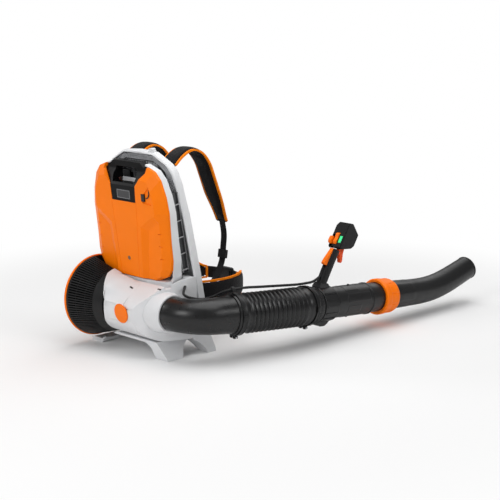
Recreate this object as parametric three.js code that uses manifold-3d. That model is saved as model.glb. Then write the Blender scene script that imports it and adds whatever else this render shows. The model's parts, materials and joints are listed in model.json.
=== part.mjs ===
// Backpack leaf blower: battery machine on a carrying frame, with a ribbed hose, a tube that carries the
// control handle, and a curved nozzle. Millimetres. X to the machine's right, seen from the battery side,
// Y towards the wearer, Z up. The origin lies on the floor, under the fan's axis.

import * as THREE from 'three';
import { mergeVertices } from 'three/addons/utils/BufferGeometryUtils.js';
import Module from 'manifold-3d';

const wasm = await Module();
wasm.setup();

// Driving dimensions.

const gap = 0.3; // between pieces that touch
const deg = Math.PI / 180;

// Blower unit
const fanHeight = 141; // fan axis above the floor
const ductBore = 66; // radius of the fan's duct
const fanClearance = 2.5; // between blade tips and duct
const housingLeft = -38;
const housingRight = 188;
const housingBack = 98;
const collarEnd = 181; // outlet face of the collar
const collarRadius = 57;
const outletRadius = 47; // inside of the outlet
const pipeWall = 3;
const badgeRadius = 30;
const badgeThickness = 2.4;

// Intake
const rimLift = 13; // rim above the floor
const rimRadius = fanHeight - rimLift;
const rimWidth = 11;
const basketLeft = -168;
const basketNeckRadius = ductBore + 23;
const basketPlainX = -72; // the slats end here
const basketWall = 3;
const slatCount = 44;
const slotShare = 0.56; // of the pitch between slats
const roundSides = 20; // sides of the turned pieces on the air path
const shelfFront = -12; // front edge of the basket's flat top under the battery

// Fan
const bladeCount = 7;
const hubRadius = 29;
const hubLength = 52;
const hubLeft = -22;
const shaftRadius = 5;

// Stand
const deckDrop = 22; // from the duct down to the stand's deck
const deckTop = fanHeight - ductBore - deckDrop;
const archDepth = 8; // the deck's thickness over the arches
const frontFootLeft = -172;
const frontFootRight = 186;
const rearFootHalf = 196;
const footFront = -24;
const footBack = 160;

// Carrying frame
const frameLean = 9.9 * deg;
const frameFootY = 159; // wearer's side of the backplate, at the floor
const backplateDepth = 26;
const backplateWall = 4;
const backplateRise = 19; // above the deck
const backplateBottom = deckTop + backplateRise;
const backplateTop = 474; // heights in the frame are taken from the fan's axis, along the lean
const frameAxisY = frameFootY - fanHeight * Math.tan(frameLean);
const railDepth = 22; // at the top; it grows downwards
const railBottom = 119;
const railTop = 362;
const railWidth = 9;
const rungPitch = 50;
const rungCount = 5;

// Battery
const batteryLean = 5.7 * deg;
const seatRise = 15; // from the duct up to the battery's foot
const batteryBottom = fanHeight + ductBore + seatRise;
const shelfDrop = 17; // from the battery's foot down to the basket's flat top
const shelfHeight = batteryBottom - shelfDrop;
const frontShellDepth = 30;
const rearShellDepth = 34;
const railClearance = 12.26; // between the rails and the battery's foot
const batteryDepth = backplateDepth + railDepth + railClearance + rearShellDepth;
const batterySeamY = frameFootY - batteryBottom * Math.tan(frameLean) - batteryDepth; // between the shells
const shellLip = 9; // the rear shell reaches this far below the front shell
const shellWall = 4;
const handleTop = 354; // above the battery's bottom, along its lean
const labelWidth = 62;
const labelHeight = 28;

// Air path: elbow, hose, tube and nozzle
const elbowBend = 105;
const elbowTurn = 78 * deg;
const elbowStraight = 62;
const outletDroop = 0.045;
const elbowStartRadius = 50.5;
const elbowEndRadius = 57;
const hoseRadius = 61;
const hoseValley = 55;
const hoseBore = 52;
const ribCount = 13;
const cuffRadius = 60.6;
const bandThickness = 3.4;
const bandWidth = 17;
const tubeDrop = 17.5; // start of the tube below the fan's axis
const tubeStart = new THREE.Vector3(342, 395, fanHeight - tubeDrop);
const tubeDroop = 4.5 * deg;
const tubeYaw = 1.5 * deg;
const tubeRadius = 49.3;
const tubeWall = 3;
const tubeLength = 392;
const panelRise = 0.6;
const spigotRadius = tubeRadius - 1.7; // end of the tube that the nut and the nozzle fit
const spigotLength = 110;
const nutStart = tubeLength - 61;
const nutLength = 68;
const nutRadius = 59;
const nozzleRadius = tubeRadius - tubeWall - 0.5;
const nozzleMouthRadius = 40;
const nozzleStart = tubeLength - 96;
const nozzleBendStart = tubeLength + 108;
const nozzleBendEnd = tubeLength + 368;
const nozzleEnd = tubeLength + 430;
const nozzleRise = 19 * deg;

// Control handle
const ringStart = 42; // along the tube
const ringLength = 63;
const ringClearance = 0.9;
const ringThickness = 6;
const handleLean = 27.5 * deg;
const handleBaseY = 65;
const gripWidth = 27;
const gripDepth = 29;
const gripLength = 126;
const headLeft = -21;
const headRight = 31;
const knobRadius = 7.5;

// Harness and cable
const strapX = 90;
const strapWidth = 60;
const strapThickness = 15;
const webbingWidth = 25;
const webbingThickness = 2.4;
const hipPadHeight = 74;
const hipPadThickness = 13;
const beltHeight = 30; // middle of the waist belt above the fan's axis
const cableRadius = 4;

// Making solids.

function toSolid(geometry) {
  let bare = geometry.clone();
  bare.deleteAttribute('normal');
  bare.deleteAttribute('uv');
  bare = mergeVertices(bare, 1e-4);
  const triVerts = new Uint32Array(bare.index.array);
  const vertProperties = new Float32Array(bare.attributes.position.array);
  if (signedVolume(vertProperties, triVerts) < 0) {
    for (let i = 0; i < triVerts.length; i += 3) {
      [triVerts[i], triVerts[i + 1]] = [triVerts[i + 1], triVerts[i]];
    }
  }
  return new wasm.Manifold(new wasm.Mesh({ numProp: 3, vertProperties, triVerts }));
}

function signedVolume(positions, triangles) {
  const [a, b, c] = [new THREE.Vector3(), new THREE.Vector3(), new THREE.Vector3()];
  let sum = 0;
  for (let i = 0; i < triangles.length; i += 3) {
    a.fromArray(positions, 3 * triangles[i]);
    b.fromArray(positions, 3 * triangles[i + 1]);
    c.fromArray(positions, 3 * triangles[i + 2]);
    sum += a.dot(b.cross(c));
  }
  return sum;
}

function toGeometry(solid) {
  const mesh = solid.simplify(0.02).getMesh();
  const geometry = new THREE.BufferGeometry();
  geometry.setAttribute('position', new THREE.BufferAttribute(new Float32Array(mesh.vertProperties), 3));
  geometry.setIndex(new THREE.BufferAttribute(new Uint32Array(mesh.triVerts), 1));
  geometry.computeVertexNormals();
  return geometry;
}

function join(solids) {
  return solids.reduce((whole, piece) => whole.add(piece));
}

function place(geometry, x, y, z, turnX = 0, turnY = 0, turnZ = 0) {
  const turn = new THREE.Quaternion().setFromEuler(new THREE.Euler(turnX, turnY, turnZ));
  const matrix = new THREE.Matrix4().compose(new THREE.Vector3(x, y, z), turn, new THREE.Vector3(1, 1, 1));
  return geometry.clone().applyMatrix4(matrix);
}

// A box between two corners.
function block(x0, x1, y0, y1, z0, z1) {
  const box = new THREE.BoxGeometry(x1 - x0, y1 - y0, z1 - z0);
  return toSolid(place(box, (x0 + x1) / 2, (y0 + y1) / 2, (z0 + z1) / 2));
}

function outline(points) {
  return new THREE.Shape(points.map(([x, y]) => new THREE.Vector2(x, y)));
}

// An outline with its corners rounded.
function roundedOutline(points, radius) {
  const corners = points.map(([x, y]) => new THREE.Vector2(x, y));
  const shape = new THREE.Shape();
  corners.forEach((corner, i) => {
    const before = corners.at(i - 1);
    const after = corners[(i + 1) % corners.length];
    const near = Math.min(radius, 0.45 * corner.distanceTo(before), 0.45 * corner.distanceTo(after));
    const start = corner.clone().add(before.clone().sub(corner).setLength(near));
    const end = corner.clone().add(after.clone().sub(corner).setLength(near));
    if (i === 0) shape.moveTo(start.x, start.y);
    else shape.lineTo(start.x, start.y);
    shape.quadraticCurveTo(corner.x, corner.y, end.x, end.y);
  });
  shape.closePath();
  return shape;
}

function extrusion(shape, depth, bevel, curveSegments) {
  return new THREE.ExtrudeGeometry(shape, {
    depth: depth - 2 * bevel,
    bevelEnabled: bevel > 0,
    bevelThickness: bevel,
    bevelSize: bevel,
    bevelOffset: -bevel,
    bevelSegments: 1,
    curveSegments,
  }).translate(0, 0, bevel);
}

// The shape lies in X and Z, and is as deep as y0 to y1.
function alongY(shape, y0, y1, bevel = 0, curveSegments = 2) {
  const geometry = extrusion(shape, y1 - y0, bevel, curveSegments).rotateX(Math.PI / 2);
  return toSolid(geometry.translate(0, y1, 0));
}

// The shape lies in Y and Z, and is as deep as x0 to x1.
function alongX(shape, x0, x1, bevel = 0, curveSegments = 2) {
  const axes = new THREE.Matrix4().makeBasis(
    new THREE.Vector3(0, 1, 0),
    new THREE.Vector3(0, 0, 1),
    new THREE.Vector3(1, 0, 0),
  );
  const geometry = extrusion(shape, x1 - x0, bevel, curveSegments).applyMatrix4(axes);
  return toSolid(geometry.translate(x0, 0, 0));
}

// The shape lies in X and Y, and is as high as z0 to z1.
function alongZ(shape, z0, z1, bevel = 0, curveSegments = 2) {
  return toSolid(extrusion(shape, z1 - z0, bevel, curveSegments).translate(0, 0, z0));
}

// A turned piece about the Y axis, from points [radius, y].
function turned(profile, segments = roundSides) {
  return new THREE.LatheGeometry(profile.map(([r, y]) => new THREE.Vector2(r, y)), segments);
}

// A turned piece about the fan's axis, from points [radius, x].
function turnedOnFan(profile, segments = roundSides) {
  return toSolid(turned(profile, segments).rotateZ(-Math.PI / 2).translate(0, 0, fanHeight));
}

// A ring about the Y axis with a square section.
function ring(inner, outer, y0, y1, segments = roundSides) {
  return toSolid(turned([[inner, y0], [outer, y0], [outer, y1], [inner, y1], [inner, y0]], segments));
}

// Skins a row of rings of points. A closed row comes back to its first ring; an open one gets end caps.
function skin(rings, closedRow) {
  const count = rings[0].length;
  const points = rings.flat();
  const triangles = [];
  const rows = closedRow ? rings.length : rings.length - 1;
  for (let i = 0; i < rows; i += 1) {
    const here = i * count;
    const next = ((i + 1) % rings.length) * count;
    for (let j = 0; j < count; j += 1) {
      const k = (j + 1) % count;
      triangles.push(here + j, here + k, next + k, here + j, next + k, next + j);
    }
  }
  if (!closedRow) {
    for (const [first, turn] of [[0, 1], [(rings.length - 1) * count, -1]]) {
      const middle = new THREE.Vector3();
      for (let j = 0; j < count; j += 1) middle.addScaledVector(points[first + j], 1 / count);
      points.push(middle);
      for (let j = 0; j < count; j += 1) {
        const [a, b] = [first + j, first + ((j + 1) % count)];
        if (turn > 0) triangles.push(b, a, points.length - 1);
        else triangles.push(a, b, points.length - 1);
      }
    }
  }
  const geometry = new THREE.BufferGeometry().setFromPoints(points);
  geometry.setIndex(triangles);
  return geometry;
}

// Two directions square to a route at each of its points: sideways and upwards.
function stations(points) {
  return points.map((point, i) => {
    const before = points[Math.max(0, i - 1)];
    const after = points[Math.min(points.length - 1, i + 1)];
    const along = after.clone().sub(before).normalize();
    const side = along.clone().cross(new THREE.Vector3(0, 0, 1)).normalize();
    const up = side.clone().cross(along);
    return { point, along, side, up };
  });
}

function roundRing(station, radius, sides) {
  return Array.from({ length: sides }, (_, j) => {
    const angle = (2 * Math.PI * j) / sides;
    return station.point.clone()
      .addScaledVector(station.side, radius * Math.cos(angle))
      .addScaledVector(station.up, radius * Math.sin(angle));
  });
}

// A pipe along a row of points; radii are given for each point, or worked out from its share of the way.
function pipe(points, outer, inner, sides = roundSides) {
  const row = stations(points);
  const share = (i) => i / (row.length - 1);
  const outside = row.map((station, i) => roundRing(station, outer(share(i)), sides));
  const inside = row.map((station, i) => roundRing(station, inner(share(i)), sides));
  return toSolid(skin([...outside, ...inside.reverse()], true));
}

function spread(count, from, to) {
  return Array.from({ length: count }, (_, i) => from + ((to - from) * i) / (count - 1));
}

// Scene graph.

const blower = new THREE.Group();

function material(color, roughness, metalness = 0) {
  return { color, roughness, metalness };
}

const paint = {
  orange: material(0xee7910, 0.38),
  white: material(0xdcdcdc, 0.42),
  grey: material(0x77797b, 0.5),
  black: material(0x1d1d1e, 0.45),
  softBlack: material(0x181818, 0.75),
  fabric: material(0x262527, 0.9),
  steel: material(0x9a9da0, 0.3, 0.9),
  copper: material(0xb06a32, 0.4, 0.8),
  green: material(0x37b779, 0.3),
  label: material(0x6d6f71, 0.5),
};

function add(parent, name, shape, look) {
  const geometry = shape.isBufferGeometry ? shape : toGeometry(shape);
  const mesh = new THREE.Mesh(geometry, new THREE.MeshStandardMaterial(look));
  mesh.name = name;
  parent.add(mesh);
  return mesh;
}

// Stand.

function standFrame() {
  const legStart = -34; // the left front leg slopes down from here
  const ankle = 9;
  const legTop = (x) => deckTop + ((x - legStart) * (deckTop - ankle)) / (legStart - frontFootLeft);
  const front = new THREE.Shape();
  front.moveTo(frontFootLeft, 0);
  front.lineTo(frontFootLeft + 49, 0);
  front.quadraticCurveTo(-96, legTop(-96) + 0.8, -52, legTop(-52) - 2.3);
  front.lineTo(96, deckTop - archDepth);
  front.quadraticCurveTo(124, deckTop - 15, 133, 0);
  front.lineTo(frontFootRight, 0);
  front.lineTo(frontFootRight - 4, 12);
  front.lineTo(150, deckTop);
  front.lineTo(legStart, deckTop);
  front.lineTo(frontFootLeft, ankle);
  front.closePath();
  const rear = new THREE.Shape();
  rear.moveTo(-rearFootHalf, 0);
  rear.lineTo(-rearFootHalf + 46, 0);
  rear.quadraticCurveTo(-122, deckTop - 5, -70, deckTop - 4);
  rear.lineTo(70, deckTop - 4);
  rear.quadraticCurveTo(122, deckTop - 5, rearFootHalf - 46, 0);
  rear.lineTo(rearFootHalf, 0);
  rear.lineTo(rearFootHalf - 2, 14);
  rear.lineTo(rearFootHalf - 22, backplateBottom - gap);
  rear.lineTo(22 - rearFootHalf, backplateBottom - gap);
  rear.lineTo(2 - rearFootHalf, 14);
  rear.closePath();
  const side = new THREE.Shape();
  side.moveTo(footFront, 0);
  side.lineTo(34, 0);
  side.quadraticCurveTo(52, deckTop - 15, 82, deckTop - archDepth);
  side.quadraticCurveTo(112, deckTop - 15, 128, 0);
  side.lineTo(footBack, 0);
  side.lineTo(footBack, 10);
  side.lineTo(frameFootY - backplateBottom * Math.tan(frameLean), backplateBottom);
  side.lineTo(102, backplateBottom);
  side.lineTo(78, deckTop);
  side.lineTo(footFront - 12, deckTop);
  side.lineTo(footFront - 4, 14);
  side.closePath();
  const legs = alongY(front, footFront - 12, 82, 0, 6).add(alongY(rear, 82, footBack, 0, 6));
  return legs.intersect(alongX(side, -rearFootHalf - 1, rearFootHalf + 1, 0, 6)).subtract(intakeRoom());
}

// The room round the intake's rim and basket.
function intakeRoom() {
  const reach = rimRadius + 3;
  return turnedOnFan([[0, -230], [reach, -230], [reach, -120], [basketNeckRadius + 6, housingLeft],
    [0, housingLeft]], 36);
}

// Battery outline, also used by what holds the battery.

// Half outlines of the battery, [half width, height along its lean]: at the seam and on the front face.
const seamSide = [
  [112, 7], [146, 21], [163, 44], [168, 70], [167, 124], [169, 190], [170, 214], [163, 262], [146, 310],
  [125, 334], [76, 352],
];
const faceSide = [
  [100, 10.5], [114, 22], [119, 46], [121, 76], [122, 124], [123, 186], [136, 214], [134, 252], [125, 280],
  [108, 306], [62, 318],
];

function mirrored(half) {
  return [...half, ...half.map(([w, h]) => [-w, h]).reverse()];
}

function shrunk(half, by) {
  return half.map(([w, h], i) => [w - by, i < 2 ? h + by : h - (i > 7 ? by / 2 : 0)]);
}

// Places a solid that is drawn in the battery's own frame.
function inBatteryFrame(solid) {
  return solid.rotate([batteryLean / deg, 0, 0]).translate([0, batterySeamY, batteryBottom]);
}

function batteryRoom(clearance) {
  const side = seamSide.map(([w, h], i) => [w + clearance + (i < 2 ? 16 : 0), i < 2 ? -shellLip - 0.5 : h]);
  const depth = rearShellDepth + 3 + clearance;
  return inBatteryFrame(alongY(outline(mirrored(side)), -frontShellDepth - 3, depth));
}

// Blower unit.

function collarEnvelope(grow) {
  const shoulder = ductBore + seatRise - shellLip - 2; // stays clear of the battery above
  return turnedOnFan([
    [0, 92], [shoulder + grow, 92], [shoulder + grow, 112], [ductBore + grow, 140],
    [collarRadius + 4 + grow, 165],
    [collarRadius + grow, collarEnd - 2], [collarRadius - 2 + grow, collarEnd + grow], [0, collarEnd + grow],
  ]);
}

function ductSpace(grow = 0) {
  return turnedOnFan([
    [0, housingLeft - 1], [ductBore + grow, housingLeft - 1], [ductBore + grow, 70],
    [outletRadius + grow, 140], [outletRadius + grow, collarEnd + 1], [0, collarEnd + 1],
  ]);
}

function fanHousing() {
  const roof = fanHeight + ductBore + 31;
  const side = roundedOutline([
    [-10, roof - 20], [-64, fanHeight + 43], [-91, fanHeight + 17], [-92, fanHeight - 13],
    [-84, fanHeight - 43], [-56, fanHeight - 71], [-20, deckTop + gap], [housingBack - 18, deckTop + gap],
    [housingBack, deckTop + 31], [housingBack, roof], [70, roof],
  ], 14);
  const plan = roundedOutline([
    [housingLeft, -70], [-24, -96], [100, -96], [134, -60], [housingRight - 4, 62], [housingRight - 4, 99],
    [housingLeft, 99],
  ], 10);
  const body = alongX(side, housingLeft, housingRight, 0, 3).intersect(alongZ(plan, 0, roof + 20, 0, 3));
  const trayOutline = outline([
    [-140, 22], [housingLeft + 1, shelfFront + 1], [housingLeft + 1, 80], [-140, 62],
  ]);
  const tray = alongZ(trayOutline, shelfHeight + basketWall + 2 * gap, shelfHeight + 6);
  const panel = alongX(outline([
    [-99, fanHeight + 11], [-93, fanHeight + 11], [-88, fanHeight - 23], [-88, fanHeight - 57],
    [-99, fanHeight - 57],
  ]), -12, 92, 0, 1);
  return join([body, tray])
    .subtract(batteryRoom(1.2))
    .subtract(inFrame(block(-220, 220, -backplateDepth - 2 * gap, 60, -fanHeight, backplateTop)))
    .subtract(cableRoom(0, 3))
    .subtract(panel)
    .subtract(ductSpace())
    .subtract(collarEnvelope(gap))
    .subtract(badgeRecess());
}

const badgeTilt = 8 * deg;
const badgeCentre = new THREE.Vector3(56, -91.5, fanHeight - 5);

function badgeSolid(radius, depth, lift) {
  const disc = new THREE.CylinderGeometry(radius, radius, depth, 28);
  return toSolid(place(disc, badgeCentre.x, badgeCentre.y - lift, badgeCentre.z, badgeTilt));
}

function badgeRecess() {
  return badgeSolid(badgeRadius + gap, 6, -3 + badgeThickness / 2);
}

function outletCollar() {
  const bore = turnedOnFan([
    [0, 80], [outletRadius + 12.5, 92], [outletRadius, 140], [outletRadius, 158],
    [elbowStartRadius + gap, 158], [elbowStartRadius + gap, collarEnd + 1], [0, collarEnd + 1],
  ]);
  return collarEnvelope(0).subtract(bore);
}

// Intake basket.

const basketSlope = (rimRadius - 3 - basketNeckRadius) / (basketLeft - housingLeft + gap);

function basketRadius(x) {
  return basketNeckRadius + basketSlope * (x - housingLeft + gap);
}

// A cone frustum about the fan's axis between two places, inset from the basket's outer face.
function basketCone(x0, x1, inset, segments) {
  const radius = (x) => basketRadius(x) - inset;
  return turnedOnFan([[0, x0], [radius(x0), x0], [radius(x1), x1], [0, x1]], segments);
}

function slotCutter(x0, x1, angle) {
  const width = (x) => (Math.PI * basketRadius(x) * slotShare) / slatCount;
  const low = basketRadius(x1) - 2 * basketWall;
  const high = basketRadius(x0) + 2 * basketWall;
  const corners = [[x0, -width(x0)], [x1, -width(x1)], [x1, width(x1)], [x0, width(x0)]];
  const cutter = extrusion(outline(corners), high - low, 0, 1).translate(0, 0, low);
  return toSolid(cutter.rotateX(angle).translate(0, 0, fanHeight));
}

function intakeBasket() {
  const right = housingLeft - gap;
  let shell = basketCone(basketLeft, right, 0, slatCount)
    .subtract(basketCone(basketLeft - 1, right + 1, basketWall, slatCount));
  const rows = [[basketLeft + 6, basketPlainX]];
  const cutters = [];
  for (let i = 0; i < slatCount; i += 1) {
    const angle = (2 * Math.PI * (i + 0.5)) / slatCount;
    for (const [x0, x1] of rows) cutters.push(slotCutter(x0, x1, angle));
  }
  shell = shell.subtract(wasm.Manifold.compose(cutters));
  const thin = 2.6;
  const inside = basketCone(basketLeft, right, 0, slatCount);
  const part = (x0, x1, y0, z0, z1) => inside.intersect(block(x0, x1, y0, 200, z0, z1));
  const shelf = part(basketLeft, right, shelfFront - thin, shelfHeight, shelfHeight + basketWall);
  const sideWall = part(basketLeft, basketLeft + thin, shelfFront - thin, shelfHeight, 400);
  const frontWall = part(basketLeft, right, shelfFront - thin, shelfHeight, 400)
    .intersect(block(basketLeft, right, shelfFront - thin, shelfFront, 0, 400));
  const above = block(basketLeft + thin, 0, shelfFront, 200, shelfHeight + basketWall, 400);
  return join([shell.subtract(above), shelf, sideWall, frontWall])
    .subtract(backplateRoom())
    .subtract(batteryRoom(gap));
}

// The room that the backplate takes beside the basket.
function backplateRoom() {
  return inFrame(block(-250, 250, -2.5, 60, -2 * fanHeight, backplateTop));
}

function intakeRim() {
  const left = basketLeft - gap;
  return turnedOnFan([
    [rimRadius - 12, left - rimWidth + 3], [rimRadius - 3, left - rimWidth + 2],
    [rimRadius, left - rimWidth + 5], [rimRadius, left], [rimRadius - 12, left],
    [rimRadius - 12, left - rimWidth + 3],
  ], 40);
}

function intakeCover() {
  const left = basketLeft - gap;
  const edge = rimRadius - 12 - gap;
  return turnedOnFan([[0, left - 14], [90, left - 10], [edge, left - 5], [edge, left], [0, left - 8]], 40);
}

// Fan and motor.

function fanBlade(index) {
  const pitch = 42 * deg;
  const halfChord = 20;
  const section = [
    [-halfChord, 0.6], [0, 2.2], [halfChord, 0.6], [halfChord, -0.6], [0, 0.2], [-halfChord, -0.6],
  ];
  const shape = outline(section.map(([c, t]) => [
    c * Math.sin(pitch) + t * Math.cos(pitch), c * Math.cos(pitch) - t * Math.sin(pitch),
  ]));
  const heightAt = (radius) => Math.sqrt(radius ** 2 - (halfChord * Math.cos(pitch) + 0.6) ** 2);
  return alongZ(shape, heightAt(hubRadius - 2.4), heightAt(ductBore - fanClearance))
    .translate([hubLeft + hubLength / 2, 0, 0])
    .rotate([(360 * (index + 0.31)) / bladeCount, 0, 0])
    .translate([0, 0, fanHeight]);
}

function fanRotor() {
  const right = hubLeft + hubLength;
  const hub = turnedOnFan([
    [0, hubLeft - 26], [10, hubLeft - 24], [22, hubLeft - 15], [hubRadius - 3, hubLeft - 3],
    [hubRadius, hubLeft + 6], [hubRadius, right], [hubRadius - 4.5, right], [hubRadius - 4.5, right - 30],
    [shaftRadius + 6, right - 30], [shaftRadius + 6, right - 8], [shaftRadius + gap, right - 8],
    [shaftRadius + gap, hubLeft + 4], [0, hubLeft + 4],
  ]);
  const blades = Array.from({ length: bladeCount }, (_, i) => fanBlade(i));
  return join([hub, ...blades]);
}

function motorShaft() {
  return turnedOnFan([[0, hubLeft + 4 + gap], [shaftRadius, hubLeft + 4 + gap], [shaftRadius, 66], [0, 66]]);
}

function motorPod() {
  const left = hubLeft + hubLength + 3;
  const pod = turnedOnFan([
    [shaftRadius + gap, left - 10], [hubRadius - 6, left - 10], [hubRadius - 6, left], [hubRadius, left],
    [hubRadius, 74], [hubRadius - 8, 96], [12, 112], [0, 114], [0, 66 + gap], [shaftRadius + gap, 66 + gap],
    [shaftRadius + gap, left - 10],
  ]);
  const reach = ductBore * Math.cos(Math.PI / roundSides) - gap;
  const vanes = Array.from({ length: 7 }, (_, i) => {
    const vane = new THREE.BoxGeometry(26, 2.4, reach - hubRadius + 3);
    vane.translate(left + 16, 0, (reach + hubRadius - 3) / 2);
    return toSolid(vane.rotateX((2 * Math.PI * i) / 7).translate(0, 0, fanHeight));
  });
  return join([pod, ...vanes]);
}

// Carrying frame.

// The latch levers turn on pins that lie along X in the frame group.
const latchX = 78;
const latchZ = 402;
const latchY = -12;
const latchRoomHalf = 21;
const latchPinRadius = 2.2;

// The frame group lies in the plane of the backplate: X, depth Y (0 on the wearer's side), and height Z
// from the level of the fan's axis.
const frameGroup = new THREE.Group();
frameGroup.position.set(0, frameAxisY, fanHeight);
frameGroup.rotation.x = frameLean;
const frameHeight = (z) => (z - fanHeight) / Math.cos(frameLean);

const backplateSide = [
  [176, -69], [184, 7], [182, 107], [176, 207], [171, 287], [163, 335], [158, 377], [148, 413], [128, 439],
  [72, backplateTop - 5], [0, backplateTop],
];

function backplateShape(inset) {
  const bottom = frameHeight(backplateBottom) + (inset > 0 ? inset : -8);
  const right = backplateSide.map(([w, h]) => [Math.max(0, w - inset), Math.min(h, backplateTop - inset)]);
  right[0][1] = bottom;
  const left = right.slice(0, -1).map(([w, h]) => [-w, h]).reverse();
  return outline([...right, ...left]);
}

// Brings a solid from the part's frame into the frame group's.
function toFrame(solid) {
  return solid.translate([0, -frameAxisY, -fanHeight]).rotate([-frameLean / deg, 0, 0]);
}

// Brings a solid from the frame group's frame into the part's.
function inFrame(solid) {
  return solid.rotate([frameLean / deg, 0, 0]).translate([0, frameAxisY, fanHeight]);
}

// The window in the backplate that the back insert fills, drawn in from its edge.
function windowOutline(inset, radius) {
  const [low, shoulder, high] = [309 + inset, 417 - inset, 447 - inset];
  return roundedOutline([
    [inset - 120, low], [120 - inset, low], [112 - inset, shoulder], [64 - inset, high], [inset - 64, high],
    [inset - 112, shoulder],
  ], radius);
}

function backplate() {
  const bottom = frameHeight(backplateBottom);
  const outer = alongY(backplateShape(0), -backplateDepth, 0, 3);
  const hollow = alongY(backplateShape(backplateWall + 4), -backplateDepth - 1, -backplateWall);
  const window = alongY(windowOutline(0, 14), -backplateDepth, 1);
  const lower = block(-130, 130, -backplateDepth - 1, -backplateWall, bottom - 1, bottom + 20);
  const vents = [-66, 0, 66].map((x) => {
    const slot = roundedOutline([[x - 22, 157], [x + 22, 157], [x + 22, 277], [x - 22, 277]], 12);
    return alongY(slot, -backplateDepth, 1);
  });
  const tabs = alongY(roundedOutline([
    [34, backplateTop - 11], [64, backplateTop - 11], [60, backplateTop + 7], [44, backplateTop + 7],
  ], 3), -16, -4);
  const below = toFrame(block(-300, 300, -50, 300, -50, backplateBottom));
  return join([outer.subtract(hollow), tabs])
    .subtract(join([window, lower, ...vents, below]))
    .subtract(toFrame(intakeRoom()));
}

function backInsert() {
  const depth = 14;
  const shape = windowOutline(1, 13);
  const panel = alongY(shape, -depth, -0.5);
  const pocket = alongY(windowOutline(8, 10), -depth - 1, -4);
  const ribs = spread(9, -96, 96).map((x) => block(x - 1, x + 1, -depth, -3.5, 316, 440));
  const crossRibs = [latchZ - 40, latchZ].map((z) => block(-106, 106, -depth, -3.5, z - 1, z + 1));
  const lattice = join([...ribs, ...crossRibs]).intersect(alongY(shape, -depth, -0.5));
  const hand = alongY(roundedOutline([[-34, 385], [34, 385], [28, 419], [-28, 419]], 8), -depth - 2, 2);
  const latchRooms = [-latchX, latchX].map((x) =>
    block(x - latchRoomHalf, x + latchRoomHalf, -depth - 2, -4.5, latchZ - 59, latchZ + 7));
  return panel.subtract(pocket).add(lattice).subtract(join([hand, ...latchRooms]));
}

const railX = 152;

function guideRail(side) {
  const front = -backplateDepth - gap;
  const deep = (z) => front - railDepth - (5 * (railTop - z)) / (railTop - railBottom);
  const at = (share, z) => [front - share * (front - deep(z)), z];
  const sideways = (x0, x1, share0, share1) => alongX(outline([
    at(share0, railBottom), at(share0, railTop), at(share1, railTop), at(share1, railBottom),
  ]), x0, x1);
  const strips = [
    sideways(railX - railWidth, railX, 0, 1),
    sideways(railX - railWidth, railX + 6, 0, 0.15),
    sideways(railX - railWidth, railX + 6, 0.85, 1),
  ];
  const rungs = Array.from({ length: rungCount }, (_, i) => {
    const z = railBottom + 8 + i * rungPitch;
    return block(railX - 2, railX + 6, deep(z) + 0.5, front - 0.5, z - 2, z + 2);
  });
  const rail = join([...strips, ...rungs]);
  return side < 0 ? rail.mirror([1, 0, 0]) : rail;
}

// Latch levers.

function latchLever() {
  const lever = alongX(roundedOutline([
    [-26, latchZ - 51], [-15, latchZ - 53], [-12.5, latchZ - 43], [-8, latchZ - 9], [-7, latchZ + 1],
    [-10, latchZ + 4], [-16, latchZ + 4], [-20, latchZ - 25], [-26, latchZ - 37],
  ], 3), -16, 16);
  const pad = block(-13, 13, -54, -20, latchZ - 48, latchZ - 38);
  const pin = alongX(new THREE.Shape().absarc(latchY, latchZ, latchPinRadius, 0, 2 * Math.PI, false),
    gap - latchRoomHalf, latchRoomHalf - gap, 0, 5);
  return join([lever, pad, pin]);
}

// Battery.

const batteryGroup = new THREE.Group();
batteryGroup.position.set(0, batterySeamY, batteryBottom);
batteryGroup.rotation.x = batteryLean;

// Half outline of the black handle frame, and how far its front lies from the seam at each height.
const handleSide = [[54, 240], [57, 290], [95, 330], [62, 356]];
const handleFront = [[-frontShellDepth + 1, 236], [-frontShellDepth + 1, 288], [-8, 332], [-6, 360]];

function slantedRing(half, y) {
  return mirrored(half).map(([x, z]) => new THREE.Vector3(x, y, z));
}

function shellSolid(inset) {
  const front = -frontShellDepth + inset;
  return toSolid(skin([
    slantedRing(shrunk(seamSide, inset), inset > 0 ? 1 : 0),
    slantedRing(shrunk(seamSide, inset), -9),
    slantedRing(shrunk(faceSide, inset), front),
  ], false));
}

// A shallow hollow in the front face, with a sloping edge.
function faceHollow(side, rim, floor, depth) {
  const ring = (points, y) => points.map(([x, z]) => new THREE.Vector3(x * side, y, z));
  return toSolid(skin([ring(rim, -frontShellDepth - 0.5), ring(floor, -frontShellDepth + depth)], false));
}

function frontShell() {
  const notch = mirrored(handleSide.map(([w, h], i) => [w + gap, h + (i === 0 ? -gap : 0)]));
  const cuts = [
    shellSolid(shellWall + 3.5),
    alongY(outline([...notch.slice(0, 3), [95 + gap, 400], [-95 - gap, 400], ...notch.slice(-3)]), -60, 2),
    alongY(roundedOutline([[chargeX - 4, 263], [122, 293], [127, 240], [chargeX - 2, 243]], 3), -60,
      -frontShellDepth + 2.4),
    block(chargeX - 7.4, chargeX + 7.4, -60, 2, chargeZ - 11.4, chargeZ + 11.4),
    alongY(new THREE.Shape().absarc(0, lampZ, 6.3, 0, 2 * Math.PI, false), -60, 2.8 - frontShellDepth, 0, 8),
  ];
  for (const side of [-1, 1]) {
    cuts.push(faceHollow(side, [[54, 5], [66, 170], [126, 206], [175, 206], [175, 5]],
      [[72, 5], [92, 158], [135, 186], [175, 186], [175, 5]], 4.5));
  }
  return shellSolid(0).subtract(join(cuts));
}

const chargeX = 90;
const chargeZ = 259;
const lampZ = 65;

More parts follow.
